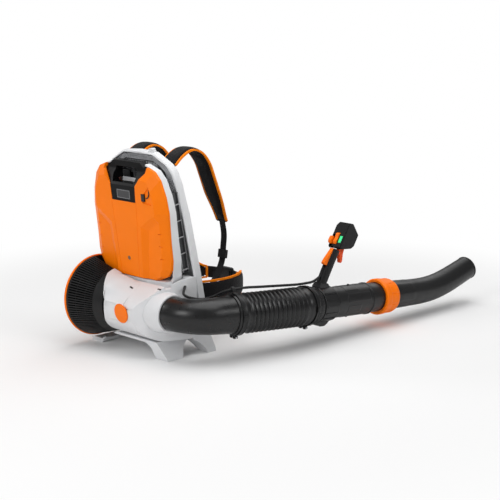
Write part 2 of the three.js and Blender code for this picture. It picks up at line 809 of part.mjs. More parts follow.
function rearShell() {
  const back = [[gap, -shellLip], [rearShellDepth, -shellLip], [rearShellDepth - 12, 280],
    [rearShellDepth - 15, 360], [gap, 360]];
  const slant = (grow) => {
    const moved = back.map(([y, z], i) => [y - (i > 0 && i < 4 ? grow : 0), z]);
    return alongX(outline(moved), -200, 200);
  };
  const side = [[150, -shellLip], [161, 20], ...seamSide.slice(2)];
  const outer = alongY(outline(mirrored(side)), gap, rearShellDepth).intersect(slant(0));
  const inner = side.map(([w, h], i) => [w - shellWall, i === 0 ? h + 16 : Math.min(h, 348)]);
  const hollow = alongY(outline(mirrored(inner)), gap - 1, rearShellDepth - shellWall)
    .intersect(slant(shellWall));
  const lipOutline = outline([[-150, 1], [-138, -14], [-66, -26], [66, -26], [138, -14], [150, 1]]);
  const lip = alongZ(lipOutline, -shellLip, 6.4)
    .subtract(block(-60, 60, -60, -20, -shellLip - 1, -shellLip + 4));
  const notch = block(-78, 78, gap - 1, 60, 300, 400);
  const grooves = [-latchX, latchX].map((x) => block(x - 19, x + 19, rearShellDepth - 22, 60, -30, 276));
  const walls = [-latchX, latchX].map((x) =>
    block(x - 22, x + 22, rearShellDepth - 25, rearShellDepth - 22 + gap, -shellLip, 279));
  const contact = block(-contactWidth / 2 - 1, contactWidth / 2 + 1, -3, 21, -30, 18);
  const socket = block(-contactWidth / 2 - 4, contactWidth / 2 + 4, gap, 24, 0, 20);
  const shell = join([outer.subtract(hollow), lip, socket]);
  return shell.subtract(join([notch, ...grooves])).add(join(walls).subtract(notch))
    .subtract(contact);
}

const contactWidth = 64;

function contactBlock() {
  const base = block(-contactWidth / 2, contactWidth / 2, 2, 18, -shellLip, 12);
  const slots = [-20, 0, 20].map((x) => block(x - 2, x + 2, 4, 16, 4, 14));
  return base.subtract(join(slots));
}

function batteryHandle() {
  const front = alongY(outline(mirrored(handleSide)), -frontShellDepth, 18);
  const slant = alongX(outline([...handleFront, [18, 360], [18, 236]]), -200, 200);
  const hand = toSolid(skin([
    mirrored([[48, 297], [54, 318], [46, 341]]).map(([x, z]) => new THREE.Vector3(x * 1.04, -60, z)),
    mirrored([[48, 292], [50, 318], [42, 338]]).map(([x, z]) => new THREE.Vector3(x, 60, z)),
  ], false));
  const label = block(-labelWidth / 2 - gap, labelWidth / 2 + gap, -60, -frontShellDepth + 3.2,
    247 - gap, 247 + labelHeight + gap);
  const behind = join([
    block(-120, 120, -0.4, 60, 200, 300.4),
    block(-220, -77.6, -0.4, 60, 200, 400),
    block(77.6, 220, -0.4, 60, 200, 400),
    block(-60, 60, -frontShellDepth + 7, 60, 200, 284),
  ]);
  return front.intersect(slant).subtract(join([hand, label, behind]));
}

function labelPlate() {
  return block(-labelWidth / 2, labelWidth / 2, -frontShellDepth + 1.4, -frontShellDepth + 2.9, 247,
    247 + labelHeight);
}

function cellBlock() {
  return block(-96, 96, -20, 8.6, 24, 232);
}

function statusLamp() {
  return alongY(new THREE.Shape().absarc(0, lampZ, 6, 0, 2 * Math.PI, false), -frontShellDepth - 0.6,
    -frontShellDepth + 2.5, 0.6, 8);
}

function chargeStrip() {
  const arc = new THREE.Shape();
  arc.absarc(chargeX + 10, 276, 19.5, -Math.PI * 0.46, 0, false);
  arc.lineTo(chargeX + 29.5, 286);
  arc.lineTo(chargeX + 27, 286);
  arc.absarc(chargeX + 10, 276, 17, 0, -Math.PI * 0.46, true);
  return alongY(arc, -frontShellDepth - 0.2, -frontShellDepth + 2.1, 0, 6);
}

function chargeButton() {
  return block(chargeX - 7, chargeX + 7, -frontShellDepth - 0.6, -8, chargeZ - 11, chargeZ + 11);
}

// Air path.

// Centre line of the elbow: a bend from +X towards the wearer, then a straight run that sinks a little.
function elbowPoint(distance) {
  const bendLength = elbowBend * elbowTurn;
  const turn = Math.min(distance / elbowBend, elbowTurn);
  const past = Math.max(0, distance - bendLength);
  const sunk = distance < bendLength ? (distance * distance) / (2 * bendLength) : bendLength / 2 + past;
  return new THREE.Vector3(
    collarEnd + elbowBend * Math.sin(turn) + past * Math.cos(elbowTurn),
    elbowBend * (1 - Math.cos(turn)) + past * Math.sin(elbowTurn),
    fanHeight - outletDroop * sunk,
  );
}

const elbowLength = elbowBend * elbowTurn + elbowStraight + 12;
const elbowEnd = elbowPoint(elbowLength);
const elbowHeading = elbowPoint(elbowLength).sub(elbowPoint(elbowLength - 10)).normalize();

function outletElbow() {
  const start = new THREE.Vector3(158 + gap, 0, fanHeight);
  const points = [start, ...spread(10, 0, elbowLength).map(elbowPoint)];
  const growth = (share) => THREE.MathUtils.clamp((share - 0.12) / 0.75, 0, 1) ** 1.3;
  const radius = (share) => elbowStartRadius + (elbowEndRadius - elbowStartRadius) * growth(share);
  return pipe(points, radius, (share) => radius(share) - pipeWall);
}

// Local frame of the tube: its axis is Y.
const tubeGroup = new THREE.Group();
tubeGroup.position.copy(tubeStart);
tubeGroup.rotation.set(-tubeDroop, 0, -tubeYaw, 'ZXY');
tubeGroup.updateMatrix();

function onTube(x, y, z) {
  return new THREE.Vector3(x, y, z).applyMatrix4(tubeGroup.matrix);
}

const cuffLength = 40; // straight end of the hose over each pipe

function hoseCurve() {
  const start = elbowEnd.clone().addScaledVector(elbowHeading, 2);
  const end = onTube(0, 14 - cuffLength, 0);
  const reach = start.distanceTo(end) * 0.36;
  return new THREE.CubicBezierCurve3(
    start,
    start.clone().addScaledVector(elbowHeading, reach),
    end.clone().sub(onTube(0, reach, 0).sub(onTube(0, 0, 0))),
    end,
  );
}

function bellows() {
  const curve = hoseCurve();
  const ribShares = spread(ribCount * 2 + 1, 0.06, 0.97);
  const outer = [];
  const push = (point, radius) => outer.push({ point, radius });
  push(elbowEnd.clone().addScaledVector(elbowHeading, -30), cuffRadius);
  push(elbowEnd.clone().addScaledVector(elbowHeading, 1), cuffRadius);
  push(curve.getPointAt(0.03), hoseValley + 1);
  ribShares.forEach((share, i) => push(curve.getPointAt(share), i % 2 === 0 ? hoseValley : hoseRadius));
  push(onTube(0, 14 - cuffLength + 4, 0), cuffRadius - 1.5);
  push(onTube(0, 14, 0), cuffRadius - 1.5);
  const inner = [
    { point: onTube(0, 14, 0), radius: hoseBore + 0.8 },
    { point: onTube(0, -22.5, 0), radius: hoseBore + 1.2 },
    { point: onTube(0, -24, 0), radius: hoseBore },
    ...[0.75, 0.5, 0.25].map((share) => ({ point: curve.getPointAt(share), radius: hoseBore })),
    { point: elbowEnd.clone().addScaledVector(elbowHeading, 1.6), radius: hoseBore },
    { point: elbowEnd.clone().addScaledVector(elbowHeading, 1), radius: elbowEndRadius + 2 * gap },
    { point: elbowEnd.clone().addScaledVector(elbowHeading, -30), radius: elbowEndRadius + 2 * gap },
  ];
  const rings = (row) => stations(row.map(({ point }) => point))
    .map((station, i) => roundRing(station, row[i].radius, roundSides));
  const outside = rings(outer);
  const inside = rings([...inner].reverse()).reverse();
  return toSolid(skin([...outside, ...inside], true));
}

// A band with a screw lug below, drawn about the Y axis.
function clampBand(inner, width, lugAngle) {
  const outer = inner + bandThickness;
  const lug = block(-13, 13, -6.5, 6.5, outer - 1, outer + 8)
    .subtract(block(-4, 4, -8, 8, outer + 3, outer + 9));
  const buckle = block(-9, 9, -width / 2 - 1, width / 2 + 1, outer - 1, outer + 3);
  const band = ring(inner, outer, -width / 2, width / 2);
  return join([band, lug.rotate([0, lugAngle, 0]), buckle.rotate([0, 90, 0])]);
}

// A group whose Y axis lies on the outlet, at a distance before the elbow's end.
function outletGroup(back) {
  const group = new THREE.Group();
  group.position.copy(elbowEnd.clone().addScaledVector(elbowHeading, -back));
  group.quaternion.setFromUnitVectors(new THREE.Vector3(0, 1, 0), elbowHeading);
  group.updateMatrix();
  return group;
}

function swivelCuff() {
  const bore = tubeRadius - tubeWall;
  return toSolid(turned([
    [bore, -18], [hoseBore, -18], [hoseBore, 16], [hoseBore + 4, 19], [hoseBore + 4, 36],
    [hoseBore + 1, 40.6],
    [bore, 40.6], [bore, -18],
  ]));
}

function handleTube() {
  const outer = tubeRadius;
  const step = tubeLength - spigotLength;
  const body = toSolid(turned([
    [outer - tubeWall, 41], [outer, 41], [outer, step - 12], [outer + 2.4, step - 9], [outer + 2.4, step - 3],
    [spigotRadius, step], [spigotRadius, tubeLength], [outer - tubeWall, tubeLength], [outer - tubeWall, 41],
  ]));
  const panels = [];
  for (let i = 0; i < 8; i += 1) {
    panels.push(block(-12, 12, 122, step - (i % 2 ? 24 : 68), 40, 80).rotate([0, 45 * i + 22.5, 0]));
  }
  const sleeve = ring(outer - 1.5, outer + panelRise, 110, step - 18);
  const studs = [[outer + 0.7, 1], [-outer - 0.7, -1]].map(([z, s]) =>
    toSolid(new THREE.CylinderGeometry(4, 4, 6, 10).rotateX(Math.PI / 2).translate(0, 196, z + s)));
  return join([body, join(panels).intersect(sleeve), ...studs]);
}

// Radius of a bore with flat facets that turns freely round a shaft of the given radius.
function turningBore(radius) {
  return (radius + gap) / Math.cos(Math.PI / roundSides);
}

function unionNut() {
  const end = nutStart + nutLength;
  const bore = turningBore(spigotRadius);
  const body = toSolid(turned([
    [bore, nutStart], [nutRadius - 4, nutStart], [nutRadius, nutStart + 4], [nutRadius, nutStart + 22],
    [nutRadius - 2, nutStart + 25], [nutRadius - 2, end - 12], [nutRadius - 5, end - 3], [nutRadius - 8, end],
    [nozzleRadius + 0.6, end], [nozzleRadius + 0.6, tubeLength + gap], [bore, tubeLength + gap],
    [bore, nutStart],
  ]));
  const flutes = [];
  for (let i = 0; i < 10; i += 1) {
    flutes.push(block(-3, 3, nutStart + 27, end + 1, nutRadius - 3.2, nutRadius + 2).rotate([0, 36 * i, 0]));
  }
  return body.subtract(join(flutes));
}

// Centre line of the nozzle, in the tube's frame.
function nozzlePoints() {
  const steps = 36;
  const length = (nozzleEnd - nozzleBendStart) / steps;
  const points = [new THREE.Vector3(0, nozzleStart, 0), new THREE.Vector3(0, nozzleBendStart - 60, 0)];
  const last = new THREE.Vector3(0, nozzleBendStart, 0);
  points.push(last.clone());
  for (let i = 0; i < steps; i += 1) {
    const share = (last.y - nozzleBendStart) / (nozzleBendEnd - nozzleBendStart);
    last.y += length;
    last.z += length * Math.tan(nozzleRise * THREE.MathUtils.smoothstep(share, 0, 1));
    if (i % 6 === 5) points.push(last.clone());
  }
  return points;
}

function nozzle() {
  const points = nozzlePoints();
  const taperStart = nutStart + nutLength + 11;
  const radiusAt = (y) => {
    const share = THREE.MathUtils.clamp((y - taperStart) / (nozzleEnd - taperStart), 0, 1);
    return nozzleRadius + (nozzleMouthRadius - nozzleRadius) * share;
  };
  const yAt = (share) => points[Math.round(share * (points.length - 1))].y;
  const body = pipe(points, (share) => radiusAt(yAt(share)), (share) => radiusAt(yAt(share)) - 2.6);
  const rim = points.at(-1);
  const lip = ring(nozzleMouthRadius - 1.5, nozzleMouthRadius + 1.2, -4, 0)
    .rotate([nozzleRise / deg, 0, 0]).translate([0, rim.y - 2, rim.z - 0.8]);
  return body.add(lip);
}

// Control handle.

const handleGroup = new THREE.Group();
handleGroup.position.set(0, handleBaseY, tubeRadius + ringClearance + ringThickness);
handleGroup.rotation.x = -handleLean;

function handleBracket() {
  const inner = tubeRadius + ringClearance;
  const outer = inner + ringThickness;
  const end = ringStart + ringLength;
  const band = toSolid(turned([
    [inner, ringStart], [outer - 1, ringStart], [outer, ringStart + 2], [outer, end - 2], [outer - 1, end],
    [inner, end], [inner, ringStart],
  ]));
  const ribs = [];
  for (let i = 0; i < 16; i += 1) {
    if (i % 8 < 2 || i % 8 > 6) continue;
    ribs.push(block(-2.5, 2.5, ringStart + 6, end - 6, outer - 1.5, outer + 1.2).rotate([0, 22.5 * i, 0]));
  }
  const shoe = alongX(roundedOutline([
    [46, tubeRadius - 1.3], [90, tubeRadius - 1.3], [96, tubeRadius + 6.7], [86, tubeRadius + 16.7],
    [56, tubeRadius + 20.7], [44, tubeRadius + 8.7],
  ], 4), -17, 17, 3);
  const bore = toSolid(new THREE.CylinderGeometry(inner, inner, 200, roundSides).translate(0, 73, 0));
  const lug = alongX(roundedOutline([
    [ringStart, 3.3 - tubeRadius], [46, -12.7 - tubeRadius], [60, -18.7 - tubeRadius],
    [80, -18.7 - tubeRadius], [90, -13.7 - tubeRadius], [end, -0.7 - tubeRadius], [end, 3.3 - tubeRadius],
  ], 3), -16, 16);
  const pin = new THREE.CylinderGeometry(3, 3, 14, 16).rotateZ(Math.PI / 2);
  const stud = toSolid(pin.translate(-21, knobY, knobZ));
  return join([band, ...ribs, shoe, lug, stud]).subtract(bore).subtract(gripSocket());
}

const knobY = 74;
const knobZ = -tubeRadius - 12.2;

// The grip stands in the bracket's shoe.
function gripSocket() {
  const box = new THREE.BoxGeometry(gripWidth + 2 * gap, gripDepth + 2 * gap, 60);
  const foot = tubeRadius + ringClearance + ringThickness;
  return toSolid(place(box.translate(0, 0, 30 + 2), 0, handleBaseY, foot, -handleLean));
}

function clampKnob() {
  const body = toSolid(new THREE.CylinderGeometry(knobRadius, knobRadius, 13, 6).rotateZ(Math.PI / 2));
  const bore = toSolid(new THREE.CylinderGeometry(3 + gap, 3 + gap, 20, 16).rotateZ(Math.PI / 2));
  return body.translate([-16.4 - 6.5, knobY, knobZ]).subtract(bore.translate([-28.3 + 10, knobY, knobZ]));
}

// Half of the grip: a rounded bar that widens at its foot, split in the middle plane.
function gripHalf(side) {
  const sections = [[2.5, 1.0, 0], [22, 1.0, 0], [50, 1.02, -1], [90, 1.0, -1], [gripLength - 1, 0.98, 0]];
  const rings = sections.map(([z, scale, shift]) => Array.from({ length: 20 }, (_, j) => {
    const angle = (2 * Math.PI * j) / 20;
    const squareness = 0.62;
    const cx = Math.sign(Math.cos(angle)) * Math.abs(Math.cos(angle)) ** squareness;
    const cy = Math.sign(Math.sin(angle)) * Math.abs(Math.sin(angle)) ** squareness;
    return new THREE.Vector3((cx * gripWidth * scale) / 2, (cy * gripDepth * scale) / 2 + shift, z);
  }));
  const bar = toSolid(skin(rings, false));
  const half = side < 0 ? block(-40, -gap / 2, -60, 60, 0, 200) : block(gap / 2, 40, -60, 60, 0, 200);
  return bar.intersect(half).subtract(join([triggerRoom(), lockRoom(), cableEntry()]));
}

// The hole where the cable enters the grip.
function cableEntry() {
  handleGroup.updateMatrix();
  const back = tubeGroup.matrix.clone().multiply(handleGroup.matrix).invert();
  const run = cableGeometry(cableHoseIndex, cablePoints.length - 1, 12, cableRadius + 0.5);
  return toSolid(run.applyMatrix4(back));
}

function triggerRoom() {
  return block(-6.5, 6.5, 5, 40, 94, gripLength + 1);
}

function lockRoom() {
  return block(-7, 7, -40, -3, 62, gripLength + 1);
}

const headSide = [[-15, 130], [-8, 126.6], [36, 149], [44, 161], [44, 200], [4, 220], [-15, 214]];
const faceY = -15; // the control face

function controlHead() {
  const body = alongX(roundedOutline(headSide, 3), headLeft, headRight, 2.5, 2);
  const cut = alongY(outline([[headLeft + 22, 230], [headLeft - 20, 230], [headLeft - 2, 196]]), -40, 60);
  const rooms = [
    block(-20, -6.3, -30, 3, 131, 171),
    block(-4.5, 9.5, -30, 6, 138, 179),
    block(13.4, 24.6, -30, faceY + 1.6, 146 - gap, 168 + gap),
    block(-6.5, 6.5, 5, 48, 90, 152),
    block(-7, 7, -40, -3, 60, 131),
  ];
  return body.subtract(join([cut, ...rooms]));
}

function displayWindow() {
  return block(13.7, 24.3, faceY - 0.4, faceY + 1.3, 146, 168);
}

const triggerPivot = { y: 14, z: 140 };

function trigger() {
  const side = roundedOutline([
    [10, 143], [20, 148], [33, 146], [36, 128], [46, 106], [44, 99], [37, 98], [30, 108], [22, 118],
    [12, 122],
  ], 2.5);
  return alongX(side, -6, 6, 1, 2);
}

const lockPivot = { y: -10, z: 121 };

function lockLever() {
  const side = roundedOutline([
    [-8, 125], [-14, 125.5], [-19, 112], [-28, 80], [-30, 68], [-26, 64.5], [-13.5, 66], [-10, 84],
    [-7.5, 112],
  ], 2);
  return alongX(side, -6.5, 6.5, 1, 2);
}

const cruisePivot = { y: -4, z: 150.5 };

function cruiseLever() {
  const side = roundedOutline([
    [1, 144], [1, 157], [-10, 161], [-21, 163], [-25, 159], [-26, 146], [-22, 138], [-10, 139],
  ], 2.5);
  return alongX(side, -19.3, -7, 1, 2);
}

function pushButton() {
  const side = roundedOutline([
    [3, 139], [3, 178], [-15, 178], [-20, 172], [-18, 159], [-21, 146], [-17, 139],
  ], 2);
  return alongX(side, -4, 9, 1, 2);
}

// Cable.

const cablePoints = [
  [160, 74, 76], [184, 46, 70], [198, 30, 56], [209, 38, 48], [230, 78, 39], [249, 104, 47], [270, 116, 60],
  [283, 125, 66], [293, 137, 69], [306, 178, 70], [318, 222, 67], [330, 300, 60], [339, 368, 54],
  [342.5, 402, 53], [343.3, 428, 53], [343.5, 445, 57], [343.7, 457, 61.5], [343.8, 463, 65],
].map(([x, y, aboveAxis]) => [x, y, fanHeight + aboveAxis]);
const cableClipIndex = 8;
const cableHoseIndex = 12;

// A smooth curve through points given as [x, y, z].
function smoothRoute(points) {
  return new THREE.CatmullRomCurve3(points.map((p) => new THREE.Vector3(...p)), false, 'centripetal');
}

function cableGeometry(first, last, steps, radius) {
  const route = smoothRoute(cablePoints);
  const shares = spread(steps + 1, first / (cablePoints.length - 1), last / (cablePoints.length - 1));
  const path = smoothRoute(shares.map((share) => route.getPoint(share).toArray()));
  const circle = new THREE.Shape().absarc(0, 0, radius, 0, 2 * Math.PI, false);
  const settings = { steps, curveSegments: 4, extrudePath: path, bevelEnabled: false };
  return new THREE.ExtrudeGeometry(circle, settings);
}

function cableRun(first, last, steps) {
  return toSolid(cableGeometry(first, last, steps, cableRadius));
}

function cableRoom(first, last, grow = 0.6) {
  return toSolid(cableGeometry(first, last, Math.ceil((last - first) * 6), cableRadius + grow));
}

function cableClip() {
  const [x, y, z] = cablePoints[cableClipIndex];
  const clip = alongY(roundedOutline([[-9, -8], [9, -8], [9, 3], [5, 7.5], [-5, 7.5], [-9, 3]], 2), -5, 5, 1);
  return clip.rotate([0, 0, -12]).translate([x, y, z])
    .subtract(cableRoom(cableClipIndex - 1, cableClipIndex + 1, 1.1));
}

// Harness.

// The harness group starts where the fan's level meets the backplate, and stands upright.
const harnessGroup = new THREE.Group();
harnessGroup.position.set(0, frameAxisY, fanHeight);

// A padded strip along a route in Y and Z, with a crown and soft edges; width and thickness by share.
function paddedStrip(points, width, thickness, sections = 13) {
  const route = smoothRoute(points);
  const rings = spread(sections, 0, 1).map((share) => {
    const point = route.getPointAt(share);
    const along = route.getTangentAt(share);
    const outward = new THREE.Vector3(1, 0, 0).cross(along).normalize();
    const across = along.clone().cross(outward).normalize();
    const [w, t] = [width(share) / 2, thickness(share) / 2];
    return Array.from({ length: 12 }, (_, j) => {
      const angle = (2 * Math.PI * j) / 12;
      const cx = Math.sign(Math.cos(angle)) * Math.abs(Math.cos(angle)) ** 0.6;
      const cy = Math.sign(Math.sin(angle)) * Math.abs(Math.sin(angle)) ** 0.8;
      return point.clone().addScaledVector(across, w * cx).addScaledVector(outward, t * cy);
    });
  });
  return toSolid(skin(rings, false));
}

function shoulderPad(side) {
  const x = strapX * side;
  const route = [
    [x, -64.4, 425], [x, -34.4, 449], [x, 3.6, 465], [x, 39.6, 456], [x, 71.6, 423], [x, 91.6, 379],
    [x, 113.6, 325], [x, 135.6, 277], [x, 154.6, 231],
  ];
  const width = (share) => strapWidth - 22 * THREE.MathUtils.smoothstep(share, 0.72, 1);
  const thickness = (share) => strapThickness * (0.72 + 0.28 * Math.sin(Math.PI * Math.min(1, share * 1.06)));
  return paddedStrip(route, width, thickness);
}

function flatStrip(points, width, thickness, steps, upright = false) {
  const route = smoothRoute(points);
  const rings = spread(steps, 0, 1).map((share) => {
    const point = route.getPointAt(share);
    const along = route.getTangentAt(share);
    const flat = new THREE.Vector3(upright ? 0 : 1, 0, upright ? 1 : 0);
    const outward = flat.cross(along).normalize();
    const across = along.clone().cross(outward).normalize();
    return [[-1, -1], [1, -1], [1, 1], [-1, 1]].map(([a, b]) => point.clone()
      .addScaledVector(across, (a * width) / 2).addScaledVector(outward, (b * thickness) / 2));
  });
  return toSolid(skin(rings, false));
}

function webbingRoute(side) {
  return [
    [strapX * side, 154.9, 230.2], [92 * side, 160.6, 189], [95 * side, 154.6, 149], [97 * side, 146.6, 105],
    [106 * side, 115.6, 67], [117 * side, 77.6, 31], [123 * side, 37.6, -3], [125 * side, 17.6, -20],
    [126 * side, 7, -29],
  ];
}

function lowerWebbing(side) {
  return flatStrip(webbingRoute(side), webbingWidth, webbingThickness, 16);
}

function adjuster(side) {
  const plate = block(-17, 17, -4.5, 4.5, -13, 13);
  const windows = [-6, 6].map((z) => block(-14, 14, -6, 6, z - 3.4, z + 3.4));
  const body = plate.subtract(join(windows)).add(block(-13.6, 13.6, -4.5, -2.4, -13, 13));
  return body.rotate([-9, 0, 0]).translate([96 * side, 151.6, 127])
    .subtract(flatStrip(webbingRoute(side), webbingWidth + 1, webbingThickness + 1, 16));
}

function hipPad(side) {
  const plan = [
    [122, 2.9], [135, 11.6], [147, 33.6], [156, 70.6], [157, 115.6], [147, 160.6], [124, 201.6], [94, 227.6],
    [72, 239.6],
  ];
  const route = smoothRoute(plan.map(([x, y]) => [x * side, y, beltHeight]));
  const rings = spread(13, 0, 1).map((share) => {
    const point = route.getPointAt(share);
    const along = route.getTangentAt(share);
    const outward = along.clone().cross(new THREE.Vector3(0, 0, 1)).normalize();
    const taper = 1 - 0.45 * THREE.MathUtils.smoothstep(share, 0.8, 1)
      - 0.2 * THREE.MathUtils.smoothstep(1 - share, 0.9, 1);
    const [h, t] = [(hipPadHeight / 2) * taper, (hipPadThickness / 2) * (0.55 + 0.45 * taper)];
    return Array.from({ length: 12 }, (_, j) => {
      const angle = (2 * Math.PI * j) / 12;
      const cz = Math.sign(Math.cos(angle)) * Math.abs(Math.cos(angle)) ** 0.6;
      const cy = Math.sign(Math.sin(angle)) * Math.abs(Math.sin(angle)) ** 0.8;
      return new THREE.Vector3(point.x, point.y, point.z + h * cz).addScaledVector(outward, t * cy);
    });
  });
  return toSolid(skin(rings, false));
}

function backPad() {
  const shape = roundedOutline([[-104, 93], [104, 93], [112, 297], [96, 385], [-96, 385], [-112, 297]], 26);
  const pad = alongY(shape, gap, 15, 5, 3);
  const channels = [-36, 36].map((x) => block(x - 7, x + 7, 9, 20, 83, 395));
  return pad.subtract(join(channels));
}

const beltRoute = [[-72, 242], [-46, 251.6], [-20, 256.6], [0, 257.6], [20, 256.6], [46, 251.6], [72, 242]]
  .map(([x, y]) => [x, y, beltHeight]);

function beltWebbing() {
  return flatStrip(beltRoute, 38, webbingThickness, 13, true);
}

function beltBuckle() {
  const shape = roundedOutline([[-30, -24], [30, -24], [34, 0], [30, 24], [-30, 24], [-34, 0]], 6);
  const body = alongY(shape, -8, 8, 2.5);
  const windows = [-25, 25].map((x) => block(x - 2.5, x + 2.5, -20, 20, -15, 15));
  return body.subtract(join(windows)).translate([0, 257.1, beltHeight])
    .subtract(flatStrip(beltRoute, 39, webbingThickness + 1, 13, true));
}

// Assembly.

add(blower, 'stand_frame', standFrame(), paint.white);
add(blower, 'fan_housing', fanHousing(), paint.white);
add(blower, 'outlet_collar', outletCollar(), paint.white);
add(blower, 'badge_disc', badgeSolid(badgeRadius, badgeThickness, badgeThickness / 2 - 0.9), paint.orange);
add(blower, 'intake_basket', intakeBasket(), paint.black);
add(blower, 'intake_rim', intakeRim(), paint.orange);
add(blower, 'intake_cover', intakeCover(), paint.black);
add(blower, 'motor_pod', motorPod(), paint.grey);
add(blower, 'fan_rotor', fanRotor(), paint.black);
add(blower, 'motor_shaft', motorShaft(), paint.steel);
add(blower, 'contact_block', inBatteryFrame(contactBlock()), paint.black);

blower.add(frameGroup);
add(frameGroup, 'backplate', backplate(), paint.white);
add(frameGroup, 'back_insert', backInsert(), paint.grey);
add(frameGroup, 'back_pad', backPad(), paint.fabric);
add(frameGroup, 'left_rail', guideRail(-1), paint.grey);
add(frameGroup, 'right_rail', guideRail(1), paint.grey);
add(frameGroup, 'left_latch_lever', latchLever(), paint.black).position.x = -latchX;
add(frameGroup, 'right_latch_lever', latchLever(), paint.black).position.x = latchX;

blower.add(batteryGroup);
add(batteryGroup, 'battery_front_shell', frontShell(), paint.orange);
add(batteryGroup, 'battery_rear_shell', rearShell(), paint.white);
add(batteryGroup, 'battery_handle', batteryHandle(), paint.black);
add(batteryGroup, 'battery_label_plate', labelPlate(), paint.label);
add(batteryGroup, 'cell_block', cellBlock(), paint.grey);
add(batteryGroup, 'status_lamp', statusLamp(), paint.label);
add(batteryGroup, 'charge_strip', chargeStrip(), paint.black);
add(batteryGroup, 'charge_button', chargeButton(), paint.black);

add(blower, 'outlet_elbow', outletElbow(), paint.black);
add(blower, 'bellows', bellows(), paint.softBlack);
const elbowClampGroup = outletGroup(14);
blower.add(elbowClampGroup);
add(elbowClampGroup, 'elbow_clamp', clampBand(cuffRadius + gap, bandWidth, 180), paint.black);

blower.add(tubeGroup);
const hoseClamp = clampBand(cuffRadius - 1.5 + gap, bandWidth - 5, 180);
add(tubeGroup, 'hose_clamp', hoseClamp, paint.black).position.y = 1;
add(tubeGroup, 'swivel_cuff', swivelCuff(), paint.black);
add(tubeGroup, 'handle_tube', handleTube(), paint.black);
add(tubeGroup, 'union_nut', unionNut(), paint.orange);
add(tubeGroup, 'nozzle', nozzle(), paint.black);
add(tubeGroup, 'handle_bracket', handleBracket(), paint.black);
add(tubeGroup, 'clamp_knob', clampKnob(), paint.black);

tubeGroup.add(handleGroup);
add(handleGroup, 'left_grip_half', gripHalf(-1), paint.black);
add(handleGroup, 'right_grip_half', gripHalf(1), paint.black);
add(handleGroup, 'control_head', controlHead(), paint.black);
add(handleGroup, 'display_window', displayWindow(), paint.green);
add(handleGroup, 'trigger', trigger(), paint.orange);
add(handleGroup, 'lock_lever', lockLever(), paint.orange);
add(handleGroup, 'cruise_lever', cruiseLever(), paint.orange);
add(handleGroup, 'push_button', pushButton(), paint.orange);

add(blower, 'cable_on_elbow', cableRun(0.1, cableClipIndex, 16), paint.softBlack);
add(blower, 'cable_over_hose', cableRun(cableClipIndex + 0.08, cableHoseIndex, 10), paint.softBlack);
add(blower, 'cable_to_handle', cableRun(cableHoseIndex + 0.02, cablePoints.length - 1, 12), paint.softBlack);

add(blower, 'cable_clip', cableClip(), paint.black);

blower.add(harnessGroup);
for (const [name, side] of [['left', -1], ['right', 1]]) {
  add(harnessGroup, `${name}_shoulder_pad`, shoulderPad(side), paint.fabric);
  add(harnessGroup, `${name}_webbing`, lowerWebbing(side), paint.fabric);
  add(harnessGroup, `${name}_adjuster`, adjuster(side), paint.black);
  add(harnessGroup, `${name}_hip_pad`, hipPad(side), paint.fabric);
}
add(harnessGroup, 'belt_webbing', beltWebbing(), paint.fabric);
add(harnessGroup, 'belt_buckle', beltBuckle(), paint.black);

export default blower;
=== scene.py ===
import json
import math
from bisect import bisect_right

import bmesh
import bpy
import numpy as np
from mathutils import Matrix, Vector
from mathutils.bvhtree import BVHTree


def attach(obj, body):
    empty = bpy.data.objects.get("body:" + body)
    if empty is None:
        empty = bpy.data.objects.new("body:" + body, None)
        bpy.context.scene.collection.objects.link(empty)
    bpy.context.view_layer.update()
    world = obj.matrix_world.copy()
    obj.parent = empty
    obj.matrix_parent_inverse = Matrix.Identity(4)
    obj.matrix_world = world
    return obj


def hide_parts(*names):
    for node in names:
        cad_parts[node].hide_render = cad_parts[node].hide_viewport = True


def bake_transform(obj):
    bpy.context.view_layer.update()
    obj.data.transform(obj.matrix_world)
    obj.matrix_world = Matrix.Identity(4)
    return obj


# Backpack leaf blower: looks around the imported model. Sizes are in millimetres, and mm() turns them
# into metres. X to the machine's right, Y towards the wearer, Z up, with the floor at zero.

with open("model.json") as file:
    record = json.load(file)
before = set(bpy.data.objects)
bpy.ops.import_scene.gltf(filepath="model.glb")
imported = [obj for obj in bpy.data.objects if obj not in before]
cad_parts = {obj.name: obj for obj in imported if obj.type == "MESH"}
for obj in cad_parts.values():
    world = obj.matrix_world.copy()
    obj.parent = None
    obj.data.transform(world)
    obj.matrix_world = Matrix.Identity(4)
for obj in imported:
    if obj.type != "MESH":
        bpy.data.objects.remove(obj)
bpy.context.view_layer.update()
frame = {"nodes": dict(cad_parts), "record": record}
nodes = frame["nodes"]
nodeBody = {name: body for body, names in frame["record"]["behaviour"]["bodies"].items() for name in names}
scene = bpy.context.scene
print("frame loaded:", len(nodes), "nodes")


def mm(x, y, z):
    return Vector((x, y, z)) / 1000


def moved(x, y, z):
    return Matrix.Translation(mm(x, y, z))


def turned(angle, axis):
    return Matrix.Rotation(math.radians(angle), 4, axis)


def basis(origin, *directions):
    # a place from its origin in metres and its local X, Y and Z
    made = Matrix.Translation(origin)
    for index, direction in enumerate(directions):
        made.col[index][:3] = direction
    return made


fanHeight = 141  # of the fan's axis above the floor
sideways, upwards = Vector((1, 0, 0)), Vector((0, 0, 1))
tubeFrame = basis(mm(342, 395, 123.5), (0.99966, -0.02618, 0), (0.0261, 0.99658, -0.07846),
                  (0.00205, 0.07843, 0.99692))
batteryFrame = basis(mm(0, 26, 222), sideways, (0, 0.99506, 0.09932), (0, -0.09932, 0.99506))  # leans back 5.7 degrees
carrierFrame = basis(mm(0, 134.39, fanHeight), sideways, (0, 0.98511, 0.17193), (0, -0.17193, 0.98511))  # 9.9 degrees
fanFrame = basis(mm(0, 0, fanHeight), upwards, sideways, (0, 1, 0))  # local Y along the fan's axis


# Camera, floor and light. The photograph was taken from the front right, a little above.

